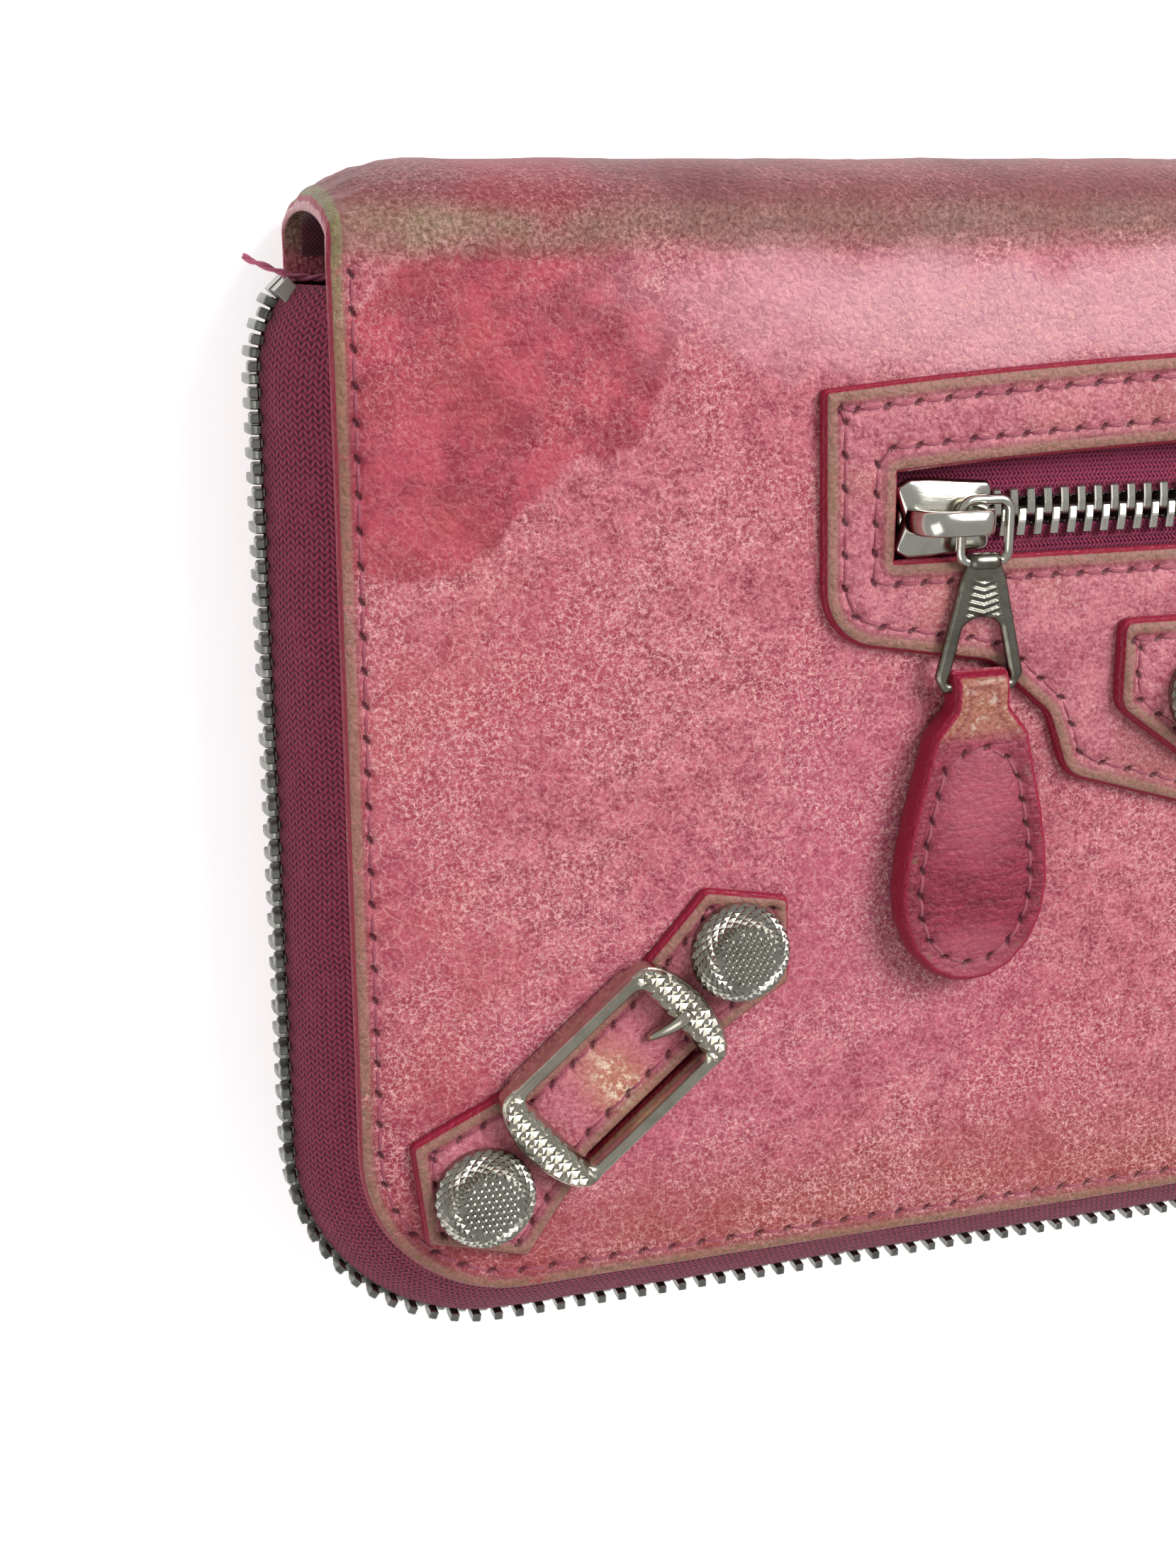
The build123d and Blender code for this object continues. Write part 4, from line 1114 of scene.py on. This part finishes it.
def forked_pull(name, node, body, place):
    """Pull plate with chevron ribs in a sunken panel and an arched fork opening."""
    barrel_half = 1.45
    left = [(-barrel_half, 0.1), (-2.2, -1.6), (-4.3, -10.4), (-3.4, -11.75)]
    radii = [0.2, 0.4, 0.9, 0.5]
    outer = rounded(left + [(-x, y) for x, y in left[::-1]], radii + radii[::-1], 0.25)
    arch = [(2.1 * math.cos(a), -6.45 + 1.5 * math.sin(a)) for a in np.linspace(0, math.pi, 12)]
    fork = np.array([(-3.15, -10.85), *[(-x, y) for x, y in arch], (3.15, -10.85)])
    loops = [resample(outer, 0.3), resample(fork, 0.3)]
    bars = [(x, y) for x in np.arange(-2.1, 2.11, 0.14) for y in np.arange(-5.2, -1.2, 0.13)]
    inner = np.vstack([inner_points(loops, [], 0.4, (0.1, 0.22, 0.4)), bars])
    inner = inner[within(inner, loops)]
    inner = inner[gap(inner, loops) > 0.08]

    def top(points):
        x, y = points.T
        depth = gap(points, loops)
        height = 0.45 - 0.22 * bell(depth / 0.16)
        side = (1.15 + 0.22 * (-y - 1.6)) - np.abs(x)
        panel = smooth(side / 0.25) * smooth((-y - 1.5) / 0.2) * smooth((y + 5.1) / 0.2)
        ribs = 0.5 + 0.5 * np.cos(2 * math.pi * (y - 0.28 * np.abs(x)) / 0.66)
        return height + panel * (ribs * 0.2 - 0.17)

    plate = cut_piece(name, ANTIQUE, loops, inner, top, place, body,
                      lambda p: -0.45 + 0.22 * bell(gap(p, loops) / 0.16), 0.04)
    barrel = sweep([(x, 0, 0) for x in np.linspace(-barrel_half, barrel_half, 6)],
                   [0.66, 0.8, 0.8, 0.8, 0.8, 0.66], 14)
    bar = sweep([(x, ring_drop - leather_drop, 0) for x in np.linspace(-3.4, 3.4, 6)], 0.44, 10)
    points, faces = together([barrel, bar])
    roll = piece(f"{name}_roll", ANTIQUE, place(points), faces, body)
    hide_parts(node)


def teardrop_pull(name, node, body, place):
    """Folded leather teardrop: rolled round the fork's bar, padded, sewn, with a thick painted edge."""
    flank = [(-4.7, -4.4), (-5.4, -7.5), (-6.35, -11.5), (-7.05, -15.2), (-7.35, -18.6), (-7.05, -21.6),
             (-5.9, -24.4), (-3.9, -26.6), (-1.8, -27.6)]
    left = [(-2.6, pull_half), (-2.65, -1.9), *flank]
    corners = [*left, (0, -27.8), *[(-x, y) for x, y in left[::-1]]]
    radii = [0.2, 0.8, 2.5] + [1.5] * 8
    loop = resample(rounded(corners, radii + [1.5] + radii[::-1], 0.4), 0.55)
    ring = offset(loop, 1.75)
    ring = ring[ring[:, 1] < -7.2]
    start = int(np.argmax(np.linalg.norm(ring - np.roll(ring, 1, 0), axis=1)))
    ring = np.roll(ring, -start, 0)
    arch = [(ring[-1][0] + (ring[0][0] - ring[-1][0]) * t, ring[-1][1] + 2.0 * math.sin(math.pi * t))
            for t in np.linspace(0, 1, 12)[1:-1]]
    row = Stitches(np.vstack([ring, arch]), 2.35, closed=True)

    def side(points):
        """Half thickness: round at the fold, level along the neck, padded in the drop."""
        y = points[:, 1]
        fold = np.sqrt(np.maximum(1.4 ** 2 - np.square(np.maximum(y, 0)), 0.02)) - 1.4
        padded = bell((y + 17) / 9) * smooth(gap(points, [loop]) / 5) * 0.35
        return fold + padded

    pull, threads = sewn_leather(name, PULL, [loop], [row], pull_half, place, body, 0.7, 0.05, 0.35,
                                 under=lambda p: -pull_half - side(p), shape=side, bulge=0.22,
                                 local=True, border=0.06)
    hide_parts(node)
    for thread in threads:
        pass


def pull_set(prefix, origin, x_way, z_way):
    """Ring, pull plate and leather pull that hang from one slider."""
    place = seat(origin, x_way, z_way)
    wire_ring(f"{prefix}_wire_ring", f"{prefix}_pull_ring", f"{prefix}_pull_ring", place)
    forked_pull(f"{prefix}_forked_pull", f"{prefix}_pull", f"{prefix}_pull",
                lambda p: place(p - (0, ring_drop, 0)))
    teardrop_pull(f"{prefix}_teardrop", f"{prefix}_pull_leather", f"{prefix}_pull_leather",
                  lambda p: place(p - (0, leather_drop, 0)))


# ---------------------------------------------------------------- front trim
def surround():
    """Second layer of leather round the pocket's zip window."""
    reach, crest_rise = 52.9, 2.5
    crest = [(x, 33.2 - crest_rise * (x / reach) ** 2) for x in np.linspace(reach, -reach, 40)]
    left = [(-52.3, 9.0), (-36.0, 6.2), (-29.8, 0.9), (-27.6, -5.2), (-13.0, -9.6)]
    lower = left + [(-x, y) for x, y in left[::-1]]
    radii = [5.5, *[3] * 8, 5.5, 0.3, *[3] * 38, 0.3]
    outline = resample(rounded(lower + crest, radii, 0.7), 0.9)
    window = resample(window_loop(), 0.8)
    rows = [Stitches(offset(outline, 1.85), closed=True),
            Stitches(offset(resample(window_loop(1.9), 0.6), 0.0), 2.6, closed=True)]
    skin, threads = sewn_leather("pocket_surround_leather", TRIM, [outline, window], rows, leather,
                                 level_at(front_face), "front", 1.2, 0.07, 0.4, dome=0.12, bulge=0.2)
    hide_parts("pocket_surround")
    for part in (skin, *threads):
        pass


def tab():
    """Thick centre tab with painted edges."""
    left = [(-23.3, 9.2), (-23.3, 1.2), (-15.5, -4.4)]
    corners = left + [(-x, y) for x, y in left[::-1]]
    loop = resample(rounded(corners, [0.8, 2.4, 2.4, 2.4, 2.4, 0.8], 0.4), 0.7)
    row = Stitches(offset(loop, 1.7), 2.6, closed=True)
    skin, threads = sewn_leather("centre_tab_leather", TRIM, [loop], [row], tab_leather,
                                 level_at(front_face + leather), "front", 0.9, 0.05, 0.4, dome=0.15,
                                 bulge=0.25, border=0.18)
    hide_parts("centre_tab")
    for part in (skin, *threads):
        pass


def strap_seat(side, level):
    """A corner strap's own directions: x along it, towards the middle of the front."""
    way = (-side * math.cos(strap_angle), math.sin(strap_angle), 0)
    return seat((side * strap_centre[0], strap_centre[1], level), way, (0, 0, 1))


def corner_strap(name, side):
    """Strap with pentagon ends and a narrow waist inside the buckle."""
    half = [(-22.5, 0), (-17.2, -8.0), (-8.2, -5.5), (-6.8, -4.6), (6.8, -4.6), (8.2, -5.0),
            (17.3, -6.2), (22.3, 0)]
    corners = half + [(x, -y) for x, y in half[-2:0:-1]]
    loop = resample(rounded(corners, [0.6] * len(corners), 0.3), 0.7)
    row = Stitches(offset(loop, 1.55), 2.5, closed=True)
    skin, threads = sewn_leather(f"{name}_strap_leather", STRAP, [loop], [row], leather,
                                 strap_seat(side, front_face), "front", 0.8, 0.06, 0.35, dome=0.15,
                                 bulge=0.2, border=0.14)
    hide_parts(f"{name}_strap")
    for part in (skin, *threads):
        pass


def knurl(points, pitch, height):
    """Square pyramids on a diagonal lattice."""
    u = (points[:, 0] + points[:, 1]) / math.sqrt(2) / pitch
    v = (points[:, 0] - points[:, 1]) / math.sqrt(2) / pitch
    ridge = np.minimum(0.5 - np.abs(u - np.round(u)), 0.5 - np.abs(v - np.round(v)))
    return height * ridge * 2


def knurl_points(pitch, reach):
    """Peaks and valleys of the same lattice."""
    steps = np.arange(-reach, reach + 1) / 2
    u, v = np.meshgrid(steps * pitch, steps * pitch)
    return np.stack([(u + v) / math.sqrt(2), (u - v) / math.sqrt(2)], 2).reshape(-1, 2)


def buckle_prong(name, place):
    """Pin across the buckle's outer end, and the prong whose eye turns on it."""
    pin_x, pin_z, eye_radius = 8.7, 1.35, 0.62
    pin = sweep([(pin_x, y, pin_z) for y in (-1.1, 1.1)], 0.35, 10)
    pin_piece = piece(f"{name}_buckle_pin", BUCKLE, place(pin[0]), pin[1], "front")
    tongue = sweep([(8.75, 0, 2.15), (8.3, 0, 2.28), (7.6, 0, 2.25), (6.8, 0, 1.95), (5.9, 0, 1.35),
                    (5.1, 0, 0.75), (4.4, 0, 0.35)], [0.62, 0.66, 0.62, 0.58, 0.54, 0.5, 0.34], 12)
    around = [(pin_x + eye_radius * math.cos(a), 0, pin_z + eye_radius * math.sin(a))
              for a in np.linspace(0, 2 * math.pi, 16, endpoint=False)]
    eye = sweep(around, 0.24, 8, closed=True, up=(0, 1, 0))
    points, faces = together([tongue, eye])
    prong = piece(f"{name}_prong_tongue", BUCKLE, place(points), faces, f"{name}_prong")
    return pin_piece, prong


def buckle(name, side):
    """Buckle frame: knurled crescent ends and deep smooth side bars."""
    low = front_face + leather + 0.1
    turns = np.linspace(-math.pi / 2, math.pi / 2, 28)
    arc = [(8.0 + 2.5 * math.cos(a), 6.2 * math.sin(a)) for a in turns]
    outline = resample(np.array(arc + [(-x, -y) for x, y in arc]), 0.45)
    hole = resample(rounded([(-7.2, -4.9), (-7.2, 4.9), (7.2, 4.9), (7.2, -4.9)], [0.8] * 4, 0.3), 0.45)
    loops = [outline, hole]
    pitch = 0.82
    bar_end = 7.3              # the smooth side bars end here and the knurled crescents start
    lattice = knurl_points(pitch, 40)
    lattice = lattice[within(lattice, loops)]
    deep = gap(lattice, loops)
    lattice = lattice[(deep > 0.3) & (np.abs(lattice[:, 0]) > bar_end)]
    rings = [offset(loop, d) for loop in loops for d in (0.1, 0.22, 0.4, 0.65)]
    bars = np.vstack(rings)
    bars = bars[within(bars, loops)]
    ring_gap = gap(bars, loops)
    bars = bars[(ring_gap > 0.08) & ((np.abs(bars[:, 0]) < bar_end) | (ring_gap < 0.26))]

    def top(points):
        depth = gap(points, loops)
        crescent = smooth((np.abs(points[:, 0]) - 7.0) / 0.4)
        round_bar = 2.2 - 0.75 * (1 - np.sqrt(1 - np.square(1 - np.clip(depth / 0.66, 0, 1))))
        flat_end = 2.05 - 0.3 * (1 - smooth(depth / 0.3)) + knurl(points, pitch, 0.3) * smooth(depth / 0.5)
        return round_bar * (1 - crescent) + flat_end * crescent

    def foot(points):
        """Side bars reach down past the strap; the ends rest on it."""
        return np.where(np.abs(points[:, 0]) < 6.8, -0.9, 0.0)

    place = strap_seat(side, low)
    ends = cut_piece(f"{name}_buckle_frame", BUCKLE, loops, np.vstack([lattice, bars]), top, place,
                     "front", foot, 0.1)
    frame_mesh = ends.data
    facing = np.zeros(len(frame_mesh.polygons) * 3)
    frame_mesh.polygons.foreach_get("center", facing)
    centres = facing.reshape(-1, 3) / MM
    along = np.abs((centres - place(np.zeros(3))) @ (place((1, 0, 0)) - place(np.zeros(3))))
    for polygon, reach in zip(frame_mesh.polygons, along):
        polygon.use_smooth = bool(reach < bar_end)
    pin_piece, prong = buckle_prong(name, place)
    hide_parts(f"{name}_buckle")
    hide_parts(f"{name}_prong")


def stud_shape():
    """Domed stud: rings of diamond facets on its side and small domes packed on its flat top."""
    rows, around = 10, 52
    radius, crest, height = 4.5, 2.75, 3.1
    points, faces = [], []
    for row in range(rows + 1):
        share = row / rows
        turn = share * math.pi / 2
        r = crest + (radius - crest) * math.cos(turn)
        z = 0.55 + (height - 0.55) * math.sin(turn)
        for step in range(around):
            raised = 0.2 if (row + step) % 2 and 0 < row < rows else 0.0
            angle = 2 * math.pi * step / around
            reach = r + raised * math.cos(turn * 0.8)
            points.append((reach * math.cos(angle), reach * math.sin(angle), z + raised * math.sin(turn)))
    for row in range(rows):
        for step in range(around):
            a, b = row * around + step, row * around + (step + 1) % around
            c, d = b + around, a + around
            faces += [(a, b, c), (a, c, d)] if (row + step) % 2 == 0 else [(a, b, d), (b, c, d)]
    start = len(points)
    for r, z in ((4.5, 0.5), (4.55, 0.3), (4.5, 0.05), (4.3, 0.0)):
        points += [(r * math.cos(2 * math.pi * s / around), r * math.sin(2 * math.pi * s / around), z)
                   for s in range(around)]
    chain = [0, start, start + around, start + 2 * around, start + 3 * around]
    for first, second in zip(chain, chain[1:]):
        faces += [(first + s, second + s, second + (s + 1) % around, first + (s + 1) % around)
                  for s in range(around)]
    faces.append(tuple(chain[-1] + s for s in reversed(range(around))))
    faces.append(tuple(rows * around + s for s in range(around)))
    parts = [(np.array(points), faces)]
    pitch = 0.66
    for line in range(-5, 6):
        for place in range(-5, 6):
            x = pitch * (place + 0.5 * (line % 2))
            y = pitch * line * math.sqrt(3) / 2
            if math.hypot(x, y) < crest - 0.3:
                bumps = [(r * math.cos(a) + x, r * math.sin(a) + y, height + z)
                         for r, z in ((0.31, -0.02), (0.24, 0.14), (0.1, 0.24))
                         for a in np.linspace(0, 2 * math.pi, 8, endpoint=False)]
                sides = [(ring * 8 + s, ring * 8 + (s + 1) % 8, (ring + 1) * 8 + (s + 1) % 8,
                          (ring + 1) * 8 + s) for ring in range(2) for s in range(8)]
                sides += [tuple(range(7, -1, -1)), tuple(range(16, 24))]
                parts.append((np.array(bumps), sides))
    return together(parts)


def studs(name, node, places):
    """Studs that share one CAD node."""
    points, faces = stud_shape()
    points, faces = together([(points + np.array(place), faces) for place in places])
    group = piece(name, STUD, points, faces, "front", flat_faces=True)
    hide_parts(node)


def loose_thread():
    """End of the seam's thread, sticking out of the spine's end."""
    route = [(-92.5, 40.6, 12.2), (-94.2, 40.4, 12.0), (-95.8, 40.5, 11.8), (-97.4, 41.0, 11.6),
             (-98.6, 41.5, 11.6), (-99.6, 41.9, 11.5), (-100.2, 42.3, 11.4)]
    plies = []
    fine = resample(np.array(route), 0.2, closed=False)
    for ply in (0, math.pi):
        turns = np.arange(len(fine)) * 0.42 + ply
        coil = fine + np.stack([np.zeros(len(fine)), np.cos(turns) * 0.15, np.sin(turns) * 0.15], 1)
        plies.append(sweep(coil, 0.17, 8))
    points, faces = together(plies)
    strand = piece("loose_thread", THREAD, points, faces, "back")


# ---------------------------------------------------------------- inside
def inner_sheet(name, node, body, finish, loops, level, thickness, spacing=3.0, rows=()):
    """Flat inner piece at its CAD node's place."""
    skin, threads = sewn_leather(name, finish, loops, list(rows), thickness, level_at(level), body,
                                 spacing, 0.0, min(0.12, thickness * 0.4), bulge=0.05, border=0.0)
    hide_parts(node)
    for part in (skin, *threads):
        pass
    return skin


def box_loop(node, radii, step=2.0):
    """Rounded outline over a CAD node's box; radii start at the low left corner."""
    low, high = low_of(node), high_of(node)
    corners = [(low[0], low[1]), (high[0], low[1]), (high[0], high[1]), (low[0], high[1])]
    return resample(rounded(corners, radii), step)


def card_panels(side, body):
    """Backing and stepped leaves, each leaf with a sewn free edge."""
    for part in ("backing", "leaf_1", "leaf_2", "leaf_3"):
        node = f"{side}_card_{part}"
        low = low_of(node)
        loop = box_loop(node, [3.0, 3.0, 0.5, 0.5])
        rows = []
        if part != "backing":
            edge = low[1] + 1.6
            rows = [Stitches([(x, edge) for x in np.linspace(-85, 85, 100)], 3.2)]
        inner_sheet(f"{side}_card_{part}_leather", node, body, CARD, [loop], low[2], 0.3,
                    4.0, rows)


def lining_sheet(name, node, body):
    """Lining cloth glued over a board."""
    loop = box_loop(node, [13.0, 13.0, 12.0, 12.0])
    skin = inner_sheet(name, node, body, LINING, [loop], low_of(node)[2], 0.3)


def coin_page():
    """Hinged coin pocket: two cloth panels, an edge band and its own zip."""
    back = box_loop("coin_back_panel", [4.0] * 4)
    front = box_loop("coin_front_panel", [4.0] * 4)
    slot = np.array([(x, coin_chain_y + y) for x, y in ((83.6, -5), (-83.6, -5), (-83.6, 5), (83.6, 5))])
    inner_sheet("coin_back_cloth", "coin_back_panel", "coin_page", LINING, [back],
                low_of("coin_back_panel")[2], 0.4)
    inner_sheet("coin_front_cloth", "coin_front_panel", "coin_page", LINING,
                [front, resample(slot, 2.0)], low_of("coin_front_panel")[2], 0.4)
    hole = offset(front, 2.0)[::-1]
    inner = inner_points([front, hole], [], 2.0, (0.5, 1.0))
    band = cut_piece("coin_edge_band", CARD, [front, hole], inner, lambda p: np.full(len(p), 2.0),
                     level_at(low_of("coin_rim")[2]), "coin_page", bulge=0.5)
    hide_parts("coin_rim")
    small_zip("coin", "coin_page", coin_chain_y, coin_chain_level, (-80.6, 73.4), coin_tooth)
    slider("coin_slider_body", "coin_slider", "coin_slider",
           seat((72.0, coin_chain_y, coin_chain_level), (-1, 0, 0), (0, 0, 1)), coin_tooth,
           rise=1.3, sheet=0.6)


def gussets():
    """Pleated leather at each end, between the two covers."""
    low, high = -19.8, 37.8    # along the wallet's end
    fold = np.array([(93, 2.2), (83, 6.2), (89.6, 9.2), (83, 12.4), (93, 16.3)])
    for name, side in (("left", -1), ("right", 1)):
        bends = rounded(fold, [0.01, 0.5, 0.5, 0.5, 0.01], 0.2)[3:-3]
        line = resample(np.vstack([fold[:1], bends, fold[-1:]]), 0.8, closed=False) * (side, 1)
        way = unit(np.gradient(line, axis=0))
        out = np.stack([-way[:, 1], way[:, 0]], 1) * 0.15
        ring = np.vstack([line + out, (line - out)[::-1]])
        sections = [np.stack([ring[:, 0], np.full(len(ring), y), ring[:, 1]], 1)
                    for y in np.linspace(low, high, 40)]
        points, faces = loft(sections)
        sheet = piece(f"{name}_gusset_leather", CARD, points, faces, rim=np.full(len(points), 8.0))
        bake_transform(sheet)
        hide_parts(f"{name}_gusset")


def pocket_bag():
    """Flat cloth bag behind the pocket zip."""
    loop = box_loop("pocket_bag", [3.0] * 4)
    bag = cut_piece("pocket_bag_cloth", LINING, [loop], inner_points([loop], [], 3.0, (0.3, 1.0)),
                    lambda p: 0.9 + smooth(gap(p, [loop]) / 8), level_at(low_of("pocket_bag")[2]),
                    "front", bulge=0.3)
    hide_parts("pocket_bag")


def give(finish, *nodes):
    """CAD nodes that keep their shape take a finish."""
    for node in nodes:
        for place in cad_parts[node].material_slots:
            place.material = finish.material


# ---------------------------------------------------------------- the wallet
outer_skin()
spine_inside()
for front in (False, True):
    end = "front" if front else "back"
    main_tape(f"{end}_zip_tape", front)
    main_teeth(f"{end}_zip_teeth", front)
surround()
tab()
small_zip("pocket", "front", chain_y, pocket_chain_level, (-42.0, 42.0), pocket_tooth)
slider("pocket_slider_body", "pocket_slider", "pocket_slider",
       seat((-41.0, chain_y, pocket_chain_level), (1, 0, 0), (0, 0, 1)), pocket_tooth)
slider("main_slider_body", "main_slider", "main_slider",
       seat((99.15, 30.0, mid), (0, -1, 0), (1, 0, 0)), main_tooth)
pull_set("pocket", (-37.7, 21.0, 24.05), (1, 0, 0), (0, 0, 1))
pull_set("main", (102.95, 29.0, mid), (0, 0, -1), (1, 0, 0))
for name, side in (("left", -1), ("right", 1)):
    corner_strap(name, side)
    buckle(name, side)
    on_strap = strap_seat(side, front_face + leather)
    studs(f"{name}_faceted_studs", f"{name}_strap_studs",
          [on_strap((reach, 0, 0)) for reach in (-strap_stud_reach, strap_stud_reach)])
on_tab = front_face + leather + tab_leather
studs("tab_faceted_studs", "centre_tab_studs", [(x, y, on_tab) for x, y in tab_studs])
loose_thread()
card_panels("back", "back")
card_panels("front", "front")
lining_sheet("back_lining_cloth", "back_lining", "back")
lining_sheet("front_lining_cloth", "front_lining", "front")
coin_page()
gussets()
pocket_bag()
give(BOARD, "back_board", "front_board")
give(PLAIN, "back_stops", "front_stops", "pocket_stop", "stud_washers", "coin_pull")


# ---------------------------------------------------------------- studio
def floor():
    """Plain pale floor."""
    surface = Finish("pale studio floor", {"Roughness": 0.9, "Base Color": (0.9, 0.9, 0.9, 1),
                                           "Emission Color": (1, 1, 1, 1), "Emission Strength": 0.5})
    size = 2500.0
    level = -0.05
    corners = ((-1, -1), (1, -1), (1, 1), (-1, 1))
    points = np.array([(x * size, y * size, level) for x, y in corners])
    ground = piece("studio_floor", surface, points, [(0, 1, 2, 3)])


def soft_light(name, place, aim, size, power):
    """Square soft light."""
    lamp = bpy.data.lights.new(name, "AREA")
    lamp.shape = "SQUARE"
    lamp.size = size
    lamp.energy = power
    obj = bpy.data.objects.new(name, lamp)
    obj.location = place
    obj.rotation_euler = (Vector(aim) - Vector(place)).to_track_quat("-Z", "Y").to_euler()
    bpy.context.scene.collection.objects.link(obj)


def studio():
    """Bright even room light with one large soft light at the right."""
    world = bpy.data.worlds.new("pale room")
    world.use_nodes = True
    background = world.node_tree.nodes["Background"]
    background.inputs["Color"].default_value = (1.0, 1.0, 1.0, 1.0)
    background.inputs["Strength"].default_value = 0.45
    bpy.context.scene.world = world
    soft_light("window_light", (0.38, 0.42, 0.6), (0, 0, 0), 0.45, 8.0)
    soft_light("room_fill", (-0.6, -0.35, 0.7), (0, 0, 0), 0.7, 2.6)
    bpy.context.scene.view_settings.view_transform = "Standard"


def camera():
    """Camera close above the left end, looking down and to the right."""
    lens = bpy.data.cameras.new("close_camera")
    lens.lens = 48.8
    lens.sensor_width = 36.0
    lens.clip_start = 0.01
    obj = bpy.data.objects.new("close_camera", lens)
    obj.location = (-0.12662, 0.04732, 0.19206)
    obj.rotation_euler = [math.radians(turn) for turn in (-15.52, -17.29, -0.26)]
    bpy.context.scene.collection.objects.link(obj)
    bpy.context.scene.camera = obj


floor()
studio()
camera()
